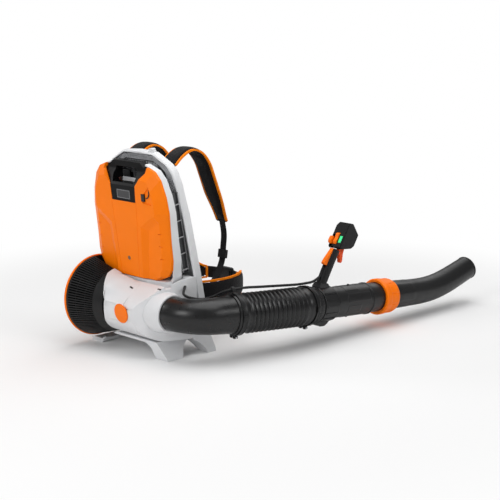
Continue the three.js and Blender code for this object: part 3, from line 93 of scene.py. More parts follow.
view = {
    "cameraAt": (2752.1, -2249.9, 1012.4), "looking": (-0.6934, 0.6934, -0.1959),
    "lens": 86.4, "sensor": 36, "farClip": 50,
    "floorHalf": 14, "floorHeight": -0.0005, "floorColour": 0.86, "floorMiddle": (0.1, 0.4, 0),
    "floorFade": (0.75, 1.75),  # metres from the middle where the floor turns into background
    "ambient": 0.3,
}
lamps = {
    # place and target in metres, size, power
    "overheadSoftbox": ((0.3, 0.5, 2.4), (0.1, 0.35, 0.1), (2.6, 2.0), 42),
    "frontSoftbox": ((0.5, -2.6, 1.7), (0.05, 0.2, 0.25), (1.1, 1.1), 26),
    "sideSoftbox": ((3.2, 0.8, 1.9), (0.1, 0.4, 0.2), (1.2, 0.9), 18),
    "leftSoftbox": ((-2.4, -1.4, 1.6), (0, 0, 0.3), (0.9, 1.5), 18),
    "backSoftbox": ((-0.6, 3.0, 2.0), (0.1, 0.3, 0.3), (1.6, 1.6), 10),
}
white = (1, 1, 1, 1)


def addNode(tree, kind, operation=None, **inputs):
    node = tree.nodes.new(kind)
    if operation:
        node.operation = operation
    for key, value in inputs.items():
        node.inputs[key].default_value = value
    return node


def wire(tree, *pairs):
    for source, socket in pairs:
        tree.links.new(source, socket)


def mapped(tree, value, low, high, fromLow=0.3, fromHigh=0.7):
    made = addNode(tree, "ShaderNodeMapRange")
    made.inputs["From Min"].default_value = fromLow
    made.inputs["From Max"].default_value = fromHigh
    made.inputs["To Min"].default_value = low
    made.inputs["To Max"].default_value = high
    wire(tree, (value, made.inputs["Value"]))
    return made.outputs["Result"]


def aim(thing, place, direction):
    thing.location = place
    thing.rotation_mode = "QUATERNION"
    thing.rotation_quaternion = direction.to_track_quat("-Z", "Y")
    scene.collection.objects.link(thing)


def makeCamera():
    camera = bpy.data.objects.new("photoCamera", bpy.data.cameras.new("photoCamera"))
    camera.data.lens = view["lens"]
    camera.data.sensor_width = view["sensor"]
    camera.data.clip_end = view["farClip"]
    aim(camera, mm(*view["cameraAt"]), Vector(view["looking"]))
    scene.camera = camera


def makeLamp(name, place, target, size, energy):
    lamp = bpy.data.objects.new(name, bpy.data.lights.new(name, "AREA"))
    lamp.data.shape = "RECTANGLE"
    lamp.data.size, lamp.data.size_y = size
    lamp.data.energy = energy
    aim(lamp, Vector(place), Vector(target) - Vector(place))


def makeFloor():
    # matt paper near the machine, plain white background further out
    half, height = view["floorHalf"], view["floorHeight"]
    mesh = bpy.data.meshes.new("studioFloor")
    corners = ((-half, -half), (half, -half), (half, half), (-half, half))
    mesh.from_pydata([(x, y, height) for x, y in corners], [], [(0, 1, 2, 3)])
    floor = bpy.data.objects.new("studioFloor", mesh)
    scene.collection.objects.link(floor)
    material = bpy.data.materials.new("studioPaper")
    material.use_nodes = True
    tree = material.node_tree
    tree.nodes.clear()
    output = addNode(tree, "ShaderNodeOutputMaterial")
    matt = addNode(tree, "ShaderNodeBsdfDiffuse", Color=(view["floorColour"],) * 3 + (1,))
    glow = addNode(tree, "ShaderNodeEmission", Color=white, Strength=1)
    place = addNode(tree, "ShaderNodeTexCoord")
    middle = addNode(tree, "ShaderNodeVectorMath", "SUBTRACT")
    middle.inputs[1].default_value = view["floorMiddle"]
    reach = addNode(tree, "ShaderNodeVectorMath", "LENGTH")
    fade = mapped(tree, reach.outputs["Value"], 0, 1, *view["floorFade"])
    fade.node.interpolation_type = "SMOOTHSTEP"
    rays = addNode(tree, "ShaderNodeLightPath")
    seen = addNode(tree, "ShaderNodeMath", "MAXIMUM")
    both = addNode(tree, "ShaderNodeMath", "MULTIPLY")
    mix = addNode(tree, "ShaderNodeMixShader")
    wire(tree, (place.outputs["Object"], middle.inputs[0]), (middle.outputs[0], reach.inputs[0]),
         (rays.outputs["Is Camera Ray"], seen.inputs[0]), (rays.outputs["Is Glossy Ray"], seen.inputs[1]),
         (seen.outputs[0], both.inputs[0]), (fade, both.inputs[1]), (both.outputs[0], mix.inputs["Fac"]),
         (matt.outputs[0], mix.inputs[1]), (glow.outputs[0], mix.inputs[2]),
         (mix.outputs[0], output.inputs["Surface"]))
    mesh.materials.append(material)


def makeWorld():
    # white to the camera, a dim even room to everything else
    scene.world = bpy.data.worlds.new("studioRoom")
    scene.world.use_nodes = True
    tree = scene.world.node_tree
    tree.nodes.clear()
    output = addNode(tree, "ShaderNodeOutputWorld")
    room = addNode(tree, "ShaderNodeBackground", Color=white, Strength=view["ambient"])
    backdrop = addNode(tree, "ShaderNodeBackground", Color=white, Strength=1)
    rays = addNode(tree, "ShaderNodeLightPath")
    mix = addNode(tree, "ShaderNodeMixShader")
    wire(tree, (rays.outputs["Is Camera Ray"], mix.inputs["Fac"]), (room.outputs[0], mix.inputs[1]),
         (backdrop.outputs[0], mix.inputs[2]), (mix.outputs[0], output.inputs["Surface"]))


scene.view_settings.view_transform = "Standard"
makeCamera()
makeFloor()
makeWorld()
for name, lamp in lamps.items():
    makeLamp(name, *lamp)
print("camera, floor and lamps placed")


# Finishes.

def srgb(red, green, blue):
    def channel(value):
        value /= 255
        return value / 12.92 if value <= 0.04045 else ((value + 0.055) / 1.055) ** 2.4
    return (channel(red), channel(green), channel(blue), 1)


def scaled(colour, factor):
    return tuple(min(1, channel * factor) for channel in colour[:3]) + (1,)


def startFinish(name):
    material = bpy.data.materials.new(name)
    material.use_nodes = True
    tree = material.node_tree
    return material, tree, tree.nodes["Principled BSDF"].inputs


def objectPlace(tree):
    return addNode(tree, "ShaderNodeTexCoord").outputs["Object"]


def addNoise(tree, vector, scale, detail=3):
    noise = addNode(tree, "ShaderNodeTexNoise", Scale=scale, Detail=detail, Roughness=0.5)
    wire(tree, (vector, noise.inputs["Vector"]))
    return noise.outputs["Fac"]


def mixColours(tree, factor, first, second):
    mix = addNode(tree, "ShaderNodeMix")
    mix.data_type = "RGBA"
    wire(tree, (factor, mix.inputs[0]))
    for socket, value in ((mix.inputs[6], first), (mix.inputs[7], second)):
        if isinstance(value, tuple):
            socket.default_value = value
        else:
            wire(tree, (value, socket))
    return mix.outputs[2]


def addBump(tree, height, strength, distance):
    bump = addNode(tree, "ShaderNodeBump", Strength=strength, Distance=distance)
    wire(tree, (height, bump.inputs["Height"]))
    return bump


def mouldedPlastic(name, colour, roughness, grain=1400, depth=0.00003, edge=0.0006, shift=0.07, gloss=0.3):
    # softly clouded colour, fine grain and rounded edges
    material, tree, shader = startFinish(name)
    place = objectPlace(tree)
    colour = srgb(*colour)
    cloud = mapped(tree, addNoise(tree, place, 14, 2), 0, 1)
    smear = mapped(tree, addNoise(tree, place, 60, 4), roughness - 0.04, roughness + 0.06)
    bump = addBump(tree, addNoise(tree, place, grain, 2), 0.6, depth)
    rounding = addNode(tree, "ShaderNodeBevel", Radius=edge)
    rounding.samples = 4
    wire(tree, (mixColours(tree, cloud, scaled(colour, 1 - shift), scaled(colour, 1 + shift)), shader["Base Color"]),
         (smear, shader["Roughness"]), (rounding.outputs["Normal"], bump.inputs["Normal"]),
         (bump.outputs["Normal"], shader["Normal"]))
    shader["Specular IOR Level"].default_value = gloss
    return material


def brushedMetal(name, colour, roughness):
    material, tree, shader = startFinish(name)
    colour = srgb(*colour)
    stretch = addNode(tree, "ShaderNodeMapping", Scale=(40, 900, 900))
    wire(tree, (objectPlace(tree), stretch.inputs["Vector"]))
    lines = addNoise(tree, stretch.outputs["Vector"], 1, 3)
    wire(tree, (mixColours(tree, lines, scaled(colour, 0.85), scaled(colour, 1.1)), shader["Base Color"]),
         (mapped(tree, lines, roughness - 0.06, roughness + 0.08), shader["Roughness"]))
    shader["Metallic"].default_value = 1
    return material


def clothShader(tree, shader, tint, bump, roughness, sheen):
    wire(tree, (tint, shader["Base Color"]), (bump.outputs["Normal"], shader["Normal"]))
    shader["Specular IOR Level"].default_value = 0.15
    shader["Roughness"].default_value = roughness
    shader["Sheen Weight"].default_value = sheen
    shader["Sheen Roughness"].default_value = 0.5


def wovenFabric(name, colour, thread=0.0011, depth=0.00022, sheen=0.1, hollowShade=0.6):
    # two crossing sets of threads on UV given in metres; their colour carries painted shade in the low threads and
    # painted light on the high ones
    material, tree, shader = startFinish(name)
    colour = srgb(*colour)
    place = addNode(tree, "ShaderNodeUVMap")
    place.uv_map = "cloth"
    split = addNode(tree, "ShaderNodeSeparateXYZ")
    wire(tree, (place.outputs["UV"], split.inputs[0]))
    cross = addNode(tree, "ShaderNodeMath", "MULTIPLY")
    for number, (axis, offset) in enumerate((("X", 0), ("Y", math.pi / 2))):
        angle = addNode(tree, "ShaderNodeMath", "MULTIPLY_ADD")
        angle.inputs[1].default_value = math.pi / thread
        angle.inputs[2].default_value = offset
        wave = addNode(tree, "ShaderNodeMath", "SINE")
        wire(tree, (split.outputs[axis], angle.inputs[0]), (angle.outputs[0], wave.inputs[0]),
             (wave.outputs[0], cross.inputs[number]))
    height = mapped(tree, cross.outputs[0], 0, 1, -1, 1)
    # painted shade and light: threads darker where the weave lies low, lighter where it stands high
    clothShader(tree, shader, mixColours(tree, height, scaled(colour, hollowShade), scaled(colour, 2 - hollowShade)),
                addBump(tree, height, 0.8, depth), 0.82, sheen)
    return material


def spacerMesh(name, colour, cell=420, depth=0.0005):
    # cushion cover of a fine three-dimensional mesh, with painted shade in its holes and painted light on the threads
    # around them
    material, tree, shader = startFinish(name)
    colour = srgb(*colour)
    place = objectPlace(tree)
    holes = addNode(tree, "ShaderNodeTexVoronoi", Scale=cell, Randomness=0.25)
    holes.feature = "DISTANCE_TO_EDGE"
    wire(tree, (place, holes.inputs["Vector"]))
    height = mapped(tree, holes.outputs["Distance"], 1, 0, 0, 0.28)
    # painted shade and light: holes darker, the raised threads around them lighter
    tint = mixColours(tree, height, scaled(colour, 0.45), scaled(colour, 1.3))
    worn = mapped(tree, addNoise(tree, place, 22, 3), 0, 0.35)
    clothShader(tree, shader, mixColours(tree, worn, tint, scaled(colour, 0.7)),
                addBump(tree, height, 0.7, depth), 0.85, 0.08)
    return material


def litWindow(name, low, high, glow):
    material, tree, shader = startFinish(name)
    cloud = addNoise(tree, objectPlace(tree), 300, 1)
    wire(tree, (mixColours(tree, cloud, srgb(*low), srgb(*high)), shader["Base Color"]))
    shader["Roughness"].default_value = 0.25
    shader["Emission Color"].default_value = srgb(*glow)
    shader["Emission Strength"].default_value = 0.45
    return material


plastics = {
    "housingWhite": {"colour": (222, 223, 225), "roughness": 0.42, "shift": 0.02},
    "shellOrange": {"colour": (253, 124, 0), "roughness": 0.4, "shift": 0.02, "gloss": 0.14},
    "capOrange": {"colour": (253, 120, 2), "roughness": 0.38, "shift": 0.02, "gloss": 0.18},
    "keyOrange": {"colour": (255, 118, 10), "roughness": 0.38, "edge": 0.0004, "gloss": 0.2},
    "triggerRed": {"colour": (248, 86, 26), "roughness": 0.38, "edge": 0.0004, "gloss": 0.2},
    "ductBlack": {"colour": (20, 20, 21), "roughness": 0.3, "depth": 0.00004, "gloss": 0.4},
    "tubeBlack": {"colour": (20, 20, 21), "roughness": 0.34, "depth": 0.00005, "gloss": 0.38},
    "hoseBlack": {"colour": (15, 15, 16), "roughness": 0.3, "gloss": 0.45},
    "clampBlack": {"colour": (14, 14, 15), "roughness": 0.36, "gloss": 0.35},
    "intakeBlack": {"colour": (17, 17, 18), "roughness": 0.42},
    "gripBlack": {"colour": (14, 14, 15), "roughness": 0.42, "grain": 900, "depth": 0.00008, "gloss": 0.25},
    "handleGloss": {"colour": (6, 6, 7), "roughness": 0.32, "gloss": 0.1},
    "railGrey": {"colour": (74, 75, 77), "roughness": 0.45},
    "rungGrey": {"colour": (168, 169, 171), "roughness": 0.45},
    "insertGrey": {"colour": (96, 97, 99), "roughness": 0.5},
    "latticeGrey": {"colour": (206, 207, 210), "roughness": 0.5},
    "labelGrey": {"colour": (58, 58, 60), "roughness": 0.4, "edge": 0.0002},
    "labelEdge": {"colour": (150, 152, 154), "roughness": 0.4, "edge": 0.0002},
    "lampGrey": {"colour": (120, 90, 70), "roughness": 0.3, "edge": 0.0002},
    "cableBlack": {"colour": (15, 15, 16), "roughness": 0.42, "grain": 700, "gloss": 0.35},
    "rotorBlack": {"colour": (30, 30, 32), "roughness": 0.4},
}
metals = {
    "screwSteel": ((190, 192, 195), 0.3),
    "shaftSteel": ((200, 202, 205), 0.25),
    "cellAluminium": ((170, 172, 175), 0.4),
}
finishes = {name: mouldedPlastic(name, **look) for name, look in plastics.items()}
finishes.update((name, brushedMetal(name, *look)) for name, look in metals.items())
finishes["padMesh"] = spacerMesh("padMesh", (22, 21, 23))
finishes["strapWeave"] = wovenFabric("strapWeave", (20, 19, 21))
finishes["bindingOrange"] = wovenFabric("bindingOrange", (255, 132, 8), 0.0009, 0.00012, 0, 0.85)
finishes["greenDisplay"] = litWindow("greenDisplay", (40, 190, 120), (70, 230, 150), (50, 210, 130))
print("finishes made:", len(finishes))


# Helpers that make, shade and place pieces.

def addObject(name, mesh, finish):
    piece = bpy.data.objects.new(name, mesh)
    mesh.materials.clear()
    mesh.materials.append(finishes[finish])
    scene.collection.objects.link(piece)
    return piece


def addPiece(name, vertices, faces, finish, uv=None):
    mesh = bpy.data.meshes.new(name)
    mesh.from_pydata([tuple(v) for v in vertices], [], faces)
    if uv is not None:
        layer = mesh.uv_layers.new(name="cloth")
        for loop in mesh.loops:
            layer.data[loop.index].uv = uv[loop.vertex_index]
    return addObject(name, mesh, finish)


def editMesh(piece, action):
    shape = bmesh.new()
    shape.from_mesh(piece.data)
    action(shape)
    shape.to_mesh(piece.data)
    shape.free()
    piece.data.update()


def merged(piece, distance=4e-6):
    editMesh(piece, lambda shape: bmesh.ops.remove_doubles(shape, verts=shape.verts, dist=distance))
    return piece


def faceOutwards(piece):
    editMesh(piece, lambda shape: bmesh.ops.recalc_face_normals(shape, faces=shape.faces))
    return piece


def smoothShade(piece, angle=30):
    piece.data.shade_smooth()
    piece.data.set_sharp_from_angle(angle=math.radians(angle))
    return piece


def applyModifiers(piece):
    # the evaluated result becomes the piece's own plain mesh
    bpy.context.view_layer.update()
    made = bpy.data.meshes.new_from_object(piece.evaluated_get(bpy.context.evaluated_depsgraph_get()))
    piece.modifiers.clear()
    piece.data = made
    return piece


def evenShading(piece, angle):
    smoothShade(piece, angle)
    weighted = piece.modifiers.new("evenFaces", "WEIGHTED_NORMAL")
    weighted.keep_sharp = True
    weighted.weight = 90
    return applyModifiers(piece)


def join(name, pieces):
    # several meshes into one; the finishes stay on their own faces
    target = bpy.data.meshes.new(name)
    shape = bmesh.new()
    slots = []
    for piece in pieces:
        own = list(piece.data.materials)
        for material in own:
            if material not in slots:
                slots.append(material)
        start = len(shape.faces)
        shape.from_mesh(piece.data)
        shape.faces.ensure_lookup_table()
        for face in shape.faces[start:]:
            face.material_index = slots.index(own[face.material_index])
    shape.to_mesh(target)
    shape.free()
    for material in slots:
        target.materials.append(material)
    made = bpy.data.objects.new(name, target)
    scene.collection.objects.link(made)
    for piece in pieces:
        bpy.data.objects.remove(piece)
    return made


def settle(piece, node):
    # the piece stands for a node and rides with that node's body
    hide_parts(node)
    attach(piece, nodeBody[node])
    return piece


def polished(node, name, finish, angle=30):
    # a merged copy of a node with even, rounded shading
    piece = merged(addObject(name, nodes[node].data.copy(), finish))
    editMesh(piece, lambda shape: bmesh.ops.dissolve_limit(shape, angle_limit=math.radians(0.4), verts=shape.verts,
                                                           edges=shape.edges))
    return evenShading(piece, angle)


def dress(node, *look):
    return settle(polished(node, *look), node)


def assemble(name, pieces, node, angle=30):
    return settle(smoothShade(join(name, pieces), angle), node)


# Helpers for paths, sweeps and turned shapes.

def clamped(value):
    return min(1, max(0, value))


def smoothstep(value, low, high):
    t = clamped((value - low) / (high - low))
    return t * t * (3 - 2 * t)


def curveAt(points, t):
    # a centripetal curve between the two middle ones of four points
    p0, p1, p2, p3 = points
    t0, t1, t2 = (max(1e-6, (b - a).length ** 0.5) for a, b in ((p0, p1), (p1, p2), (p2, p3)))
    m1 = ((p1 - p0) / t0 - (p2 - p0) / (t0 + t1) + (p2 - p1) / t1) * t1
    m2 = ((p2 - p1) / t1 - (p3 - p1) / (t1 + t2) + (p3 - p2) / t2) * t1
    return ((2 * t**3 - 3 * t**2 + 1) * p1 + (t**3 - 2 * t**2 + t) * m1
            + (3 * t**2 - 2 * t**3) * p2 + (t**3 - t**2) * m2)


def extended(points):
    given = [Vector(p) for p in points]
    return [given[0] * 2 - given[1], *given, given[-1] * 2 - given[-2]]


def runningLengths(points):
    lengths = [0]
    for a, b in zip(points, points[1:]):
        lengths.append(lengths[-1] + (b - a).length)
    return lengths


def pointAlong(points, lengths, wanted):
    index = min(len(points) - 2, max(0, bisect_right(lengths, wanted) - 1))
    share = (wanted - lengths[index]) / max(1e-9, lengths[index + 1] - lengths[index])
    return points[index].lerp(points[index + 1], min(1, share))


def smoothPath(points, count):
    # equally spaced points on a smooth curve through the given ones
    given, steps = extended(points), 24
    fine = [curveAt(given[k:k + 4], step / steps) for k in range(len(given) - 3) for step in range(steps)]
    fine.append(given[-2])
    lengths = runningLengths(fine)
    return [pointAlong(fine, lengths, lengths[-1] * k / (count - 1)) for k in range(count)]


def headings(points):
    # every point with the direction of the path there
    last = len(points) - 1
    return [(point, (points[min(last, k + 1)] - points[max(0, k - 1)]).normalized())
            for k, point in enumerate(points)]


def stationsOn(points, hint=None):
    # place, right and up for every point; without a hint they are carried along without twist
    stations, right = [], None
    for point, along in headings(points):
        if right is None or hint is not None:
            right = along.cross(Vector(upwards if hint is None else hint)).normalized()
        else:
            right = (right - along * right.dot(along)).normalized()
        stations.append((point, right, right.cross(along).normalized()))
    return stations


def skinned(name, rings, finish, closedRow=False, uv=None):
    size = len(rings[0])
    vertices = [v for ring in rings for v in ring]
    faces = []
    for row in range(len(rings) if closedRow else len(rings) - 1):
        a, b = row * size, ((row + 1) % len(rings)) * size
        faces += [(a + k, b + k, b + (k + 1) % size, a + (k + 1) % size) for k in range(size)]
    if not closedRow:
        faces.append(tuple(range(size)))
        faces.append(tuple(reversed(range((len(rings) - 1) * size, len(rings) * size))))
    return faceOutwards(addPiece(name, vertices, faces, finish, uv))


def circle(radius, sides):
    return [(radius * math.cos(2 * math.pi * k / sides), radius * math.sin(2 * math.pi * k / sides))
            for k in range(sides)]


def roundRing(station, radius, sides):
    point, right, up = station
    return [point + right * a + up * b for a, b in circle(radius / 1000, sides)]


def turnedShell(name, profile, place, finish, sides=96, shape=None):
    # profile of (radius, y) round local Y; shape(angle, radius, y) may change the radius
    rings = []
    for radius, y in profile[:-1] if profile[0] == profile[-1] else profile:
        ring = []
        for k in range(sides):
            angle = 2 * math.pi * k / sides
            r = shape(angle, radius, y) if shape else radius
            ring.append(place @ mm(r * math.sin(angle), y, r * math.cos(angle)))
        rings.append(ring)
    return skinned(name, rings, finish, closedRow=True)


def softened(points, radius, steps=4):
    # rounds the corners of an open or closed outline in the plane
    made = []
    closed = points[0] == points[-1]
    corners = points[:-1] if closed else points
    for index, corner in enumerate(corners):
        here = Vector(corner)
        if not closed and index in (0, len(corners) - 1):
            made.append(tuple(here))
            continue
        before, after = Vector(corners[index - 1]), Vector(corners[(index + 1) % len(corners)])
        r = min(radius, (before - here).length * 0.45, (after - here).length * 0.45)
        a, b = here + (before - here).normalized() * r, here + (after - here).normalized() * r
        for step in range(steps + 1):
            t = step / steps
            made.append(tuple((1 - t) ** 2 * a + 2 * t * (1 - t) * here + t * t * b))
    if closed:
        made.append(made[0])
    return made


def boxPiece(name, low, high, place, finish, bevel=0.4):
    corners = [(x, y, z) for x in (low[0], high[0]) for y in (low[1], high[1]) for z in (low[2], high[2])]
    faces = [(0, 1, 3, 2), (4, 6, 7, 5), (0, 4, 5, 1), (2, 3, 7, 6), (0, 2, 6, 4), (1, 5, 7, 3)]
    piece = faceOutwards(addPiece(name, [place @ mm(*c) for c in corners], faces, finish))
    if bevel:
        editMesh(piece, lambda shape: bmesh.ops.bevel(
            shape, geom=list(shape.edges), offset=bevel / 1000, segments=2, profile=0.5, affect="EDGES",
            clamp_overlap=True))
    return piece


def prism(name, low, high, place, finish="shellOrange"):
    # a solid between two outlines with equal point counts
    return skinned(name, [[place @ mm(*p) for p in low], [place @ mm(*p) for p in high]], finish)


def carve(piece, tool, selfTouching=True):
    # takes the tool's room out of the piece
    merged(tool, 1e-6)
    faceOutwards(tool)
    cut = piece.modifiers.new("cut", "BOOLEAN")
    cut.operation = "DIFFERENCE"
    cut.solver = "EXACT"
    cut.use_self = selfTouching
    cut.object = tool
    applyModifiers(piece)
    bpy.data.objects.remove(tool)
    return piece


def rowTree():
    # Geometry Nodes: copies of one item, each a step and a turn further
    tree = bpy.data.node_groups.new("itemRow", "GeometryNodeTree")
    for name, kind in (("Item", "Geometry"), ("Count", "Int"), ("Start", "Vector"), ("Step", "Vector"),
                       ("Turn", "Vector"), ("Finish", "Material")):
        tree.interface.new_socket(name, in_out="INPUT", socket_type="NodeSocket" + kind)
    tree.interface.new_socket("Row", in_out="OUTPUT", socket_type="NodeSocketGeometry")
    entry, leave = addNode(tree, "NodeGroupInput").outputs, addNode(tree, "NodeGroupOutput")
    points, index = addNode(tree, "GeometryNodePoints"), addNode(tree, "GeometryNodeInputIndex").outputs[0]
    spot = addNode(tree, "ShaderNodeVectorMath", "MULTIPLY_ADD")
    turn = addNode(tree, "ShaderNodeVectorMath", "SCALE")
    place, copies = addNode(tree, "GeometryNodeSetPosition"), addNode(tree, "GeometryNodeInstanceOnPoints")
    real, coat = addNode(tree, "GeometryNodeRealizeInstances"), addNode(tree, "GeometryNodeSetMaterial")
    wire(tree, (entry["Count"], points.inputs["Count"]), (index, spot.inputs[0]), (entry["Step"], spot.inputs[1]),
         (entry["Start"], spot.inputs[2]), (entry["Turn"], turn.inputs[0]), (index, turn.inputs["Scale"]),
         (points.outputs[0], place.inputs["Geometry"]), (spot.outputs[0], place.inputs["Position"]),
         (place.outputs[0], copies.inputs["Points"]), (entry["Item"], copies.inputs["Instance"]),
         (turn.outputs[0], copies.inputs["Rotation"]), (copies.outputs[0], real.inputs[0]),
         (real.outputs[0], coat.inputs["Geometry"]), (entry["Finish"], coat.inputs["Material"]),
         (coat.outputs[0], leave.inputs[0]))
    return tree


itemRow = rowTree()


def repeated(piece, finish, **values):
    # sets the tree's inputs by identifier, then keeps the plain mesh
    values["Finish"] = finishes[finish]
    modifier = piece.modifiers.new("rows", "NODES")
    modifier.node_group = itemRow
    for item in itemRow.interface.items_tree:
        if item.in_out == "INPUT" and item.name in values:
            modifier[item.identifier] = values[item.name]
    return applyModifiers(piece)


print("tools ready")


# Stand, housing and carrying frame.

dress("stand_frame", "standBase", "housingWhite", 34)
collar = dress("outlet_collar", "outletBulge", "housingWhite", 50)
dress("backplate", "carryingPlate", "housingWhite", 24)

housing = {
    # place along the fan's axis, fullness of the brow, angle from the top where it ends
    "sections": ((-38, 1, 77), (-24, 1, 77), (-8, 0.9, 77), (12, 0.6, 77), (36, 0.25, 78), (62, 0, 78)),
    # angle from the top and distance of the plain front from the fan's axis
    "plainFront": ((0, 77), (7, 76), (25, 71.5), (40, 71), (56, 77), (68, 86), (79, 92.6)),
    "roundTo": 94, "lowAngle": 7, "cornerFrom": 63, "browDepth": 8,
    "neckEdge": (24.9, 60.5, -66, -38), "neckEnd": 76, "neckDrift": 0.34, "neckLift": 3.4, "neckWall": 3,
    # slots: places of the black plates that paint the shade of sunk slots, and their size
    "slots": ((43.6, -40, 204), (146, -14, 192)), "slotSize": (7, 2.6, 1.2),
}
ladder = {
    "rungs": 5, "rungAcross": (149.4, 158.6), "rungDepths": (-52.4, -26.6), "rungHeights": (125.2, 128.8),
    "rungStep": (0, 1, 50), "edgeAcross": (156.6, 158.8), "edgeDepths": (-28.6, -50.4), "edgeHeights": (120, 361),
}
lattice = {
    "outer": ((158, 296), (154, 335), (149, 377), (139, 409), (121, 432), (70, 459), (0, 464)),
    "inner": ((123, 296), (121, 335), (118, 377), (113, 417), (92, 434), (64, 448), (0, 448)),
    "ribPitch": 6.5, "ribWidth": 1.5, "front": -24, "bars": 19, "barStep": (7.2, 0, 0),
}
intake = {
    "rim": 128, "left": -168, "wide": 125, "neck": 89, "right": -38.3, "plainFrom": -72, "wall": 3,
    "slats": 96, "slatWidth": 4.1, "slatDepth": 6, "slatTaper": 0.72, "hoops": (-136, -104),
    "shelf": 205, "shelfFront": -12, "shelfWall": 2.6, "coverRings": ((34, 12.8), (58, 11.7), (82, 10.2)),
}


def basketRadius(x):
    share = (x - intake["left"]) / (intake["right"] - intake["left"])
    return intake["wide"] + (intake["neck"] - intake["wide"]) * share


def onFan(x, radius, angle):
    turn = math.radians(angle)
    return mm(x, -radius * math.sin(turn), fanHeight + radius * math.cos(turn))


def slotShadeAt(place, shells):
    # a thin black plate whose black is painted shade standing in for a sunk slot's recess; it lies on the first surface
    # met on the way to the fan's axis
    outward = Vector((0, place.y, place.z - fanHeight / 1000)).normalized()
    hits = []
    for shell in shells:
        shape = bmesh.new()
        shape.from_mesh(shell.data)
        hits.append(BVHTree.FromBMesh(shape).ray_cast(place + outward * 0.06, -outward))
        shape.free()
    spot, normal, _, _ = min((hit for hit in hits if hit[0] is not None), key=lambda hit: hit[3])
    normal = normal if normal.dot(outward) > 0 else -normal
    along = Vector((0, 1, 0)).cross(normal).normalized()
    half, high, deep = housing["slotSize"]
    return boxPiece("slot", (-half, -high, -deep), (half, high, 0.25),
                    basis(spot, along, normal.cross(along), normal), "clampBlack", 0.2)


def makeBrow():
    # the swelling front of the housing; its lower left corner is sunk
    start, steps = housing["lowAngle"], 24
    rings = []
    for x, fullness, end in housing["sections"]:
        outer, inner = [], []
        for k in range(steps + 1):
            angle = start + (end - start) * k / steps
            plain = float(np.interp(angle, *zip(*housing["plainFront"]))) - 1
            fade = min(smoothstep(steps - k, 0, 10), (k + 3) / 5)
            radius = plain + fullness * fade * max(0, housing["roundTo"] - plain)
            low = max(0, angle - housing["cornerFrom"]) if not rings else 0
            outer.append(onFan(x + low * 0.5, radius - low * 0.3, angle))
            inner.append(onFan(x + low * 0.5, plain - housing["browDepth"], angle))
        rings.append(outer + inner[::-1])
    smooth = [[a.lerp(b, t) for a, b in zip(*pair)] for pair in zip(rings, rings[1:]) for t in (0, 0.5)]
    return skinned("brow", smooth + [rings[-1]], "housingWhite")


def makeNeck():
    # the guard over the intake's narrow end
    start, steps = housing["lowAngle"], 32
    low, high, left, right = housing["neckEdge"]
    rings = []
    for k in range(steps + 1):
        angle = start + (housing["neckEnd"] - start) * k / steps
        past = housing["neckDrift"] * max(0, angle - high)
        edge = left + (right - left) * max(0, angle - low) / (high - low) - 3 * max(0, low - angle) / low
        edge = min(edge, right - 0.6) + past
        lift = housing["neckLift"] - 0.5 * max(0, angle - 64)
        row = [edge + (right + 1 + past - edge) * n / 6 for n in range(7)]
        rings.append([onFan(x, basketRadius(x) + lift, angle) for x in row]
                     + [onFan(x, basketRadius(x) + lift - housing["neckWall"], angle) for x in row[::-1]])
    return skinned("neckGuard", rings, "housingWhite")


def makeHousing():
    case = polished("fan_housing", "fanCase", "housingWhite")
    made = smoothShade(join("fanCase", [case, makeBrow(), makeNeck()]), 36)
    # black plates of painted shade where the slots are sunk
    slots = [slotShadeAt(mm(*place), (made, collar)) for place in housing["slots"]]
    settle(join("fanCase", [made, *slots]), "fan_housing")


def makeRail(side, sign):
    def bar(name, across, depths, heights):
        (x0, x1), (y0, y1), (z0, z1) = sorted(sign * x for x in across), depths, heights
        return boxPiece(name, (x0, y0, z0), (x1, y1, z1), carrierFrame, "rungGrey")

    rung = bar("rung", ladder["rungAcross"], ladder["rungDepths"], ladder["rungHeights"])
    repeated(rung, "rungGrey", Count=ladder["rungs"], Step=tuple(carrierFrame.to_3x3() @ mm(*ladder["rungStep"])))
    edges = [bar("edge", ladder["edgeAcross"], (y, y + 2), ladder["edgeHeights"]) for y in ladder["edgeDepths"]]
    rail = polished(side + "_rail", side + "Rail", "railGrey", 24)
    assemble(side + "GuideRail", [rail, rung, *edges], side + "_rail")


def latticeRow(points):
    # the given right half, mirrored to the left, in even shares of its corners
    half = [Vector((x, 0, z)) for x, z in points]
    whole = half + [Vector((-p.x, 0, p.z)) for p in reversed(half[:-1])]
    count = 2 * int(runningLengths(whole)[-1] / lattice["ribPitch"] / 2)
    corners = range(len(whole))
    return [pointAlong(whole, corners, k / count * corners[-1]) for k in range(count + 1)]


def makeInsert():
    def slab(a, b, front, back):
        return [carrierFrame @ mm(p.x, y, p.z) for p, y in ((a, front), (a, back), (b, back), (b, front))]

    rib = boxPiece("rib", (-64.8, -15, 421), (-63.2, -3.8, 440), carrierFrame, "latticeGrey", 0.3)
    repeated(rib, "latticeGrey", Count=lattice["bars"], Step=tuple(mm(*lattice["barStep"])))
    bars = [boxPiece("bar", (-70, -15, z), (70, -12, z + 1.4), carrierFrame, "latticeGrey", 0.3) for z in (424, 432)]
    outer, inner = latticeRow(lattice["outer"]), latticeRow(lattice["inner"])
    last = min(len(outer), len(inner)) - 1
    rows = [[row[round(k * (len(row) - 1) / last)] for row in (outer, inner)] for k in range(last + 1)]
    front = lattice["front"]
    net = [skinned("along", [slab(a.lerp(b, t), a.lerp(b, t + 0.06), front, -15) for a, b in rows], "latticeGrey")
           for t in (0.02, 0.32, 0.62, 0.93)]
    for (a, b), (c, _) in zip(rows[1:-1], rows[2:]):
        half = (c - a).normalized() * (lattice["ribWidth"] / 2)
        net.append(skinned("across", [slab(p - half, p + half, -9, front) for p in (a, b)], "latticeGrey"))
    backing = skinned("backing", [slab(a, b, -14, -4.6) for a, b in rows], "insertGrey")
    panel = polished("back_insert", "insertPanel", "insertGrey", 24)
    assemble("gripLattice", [panel, rib, *bars, backing, *net], "back_insert")


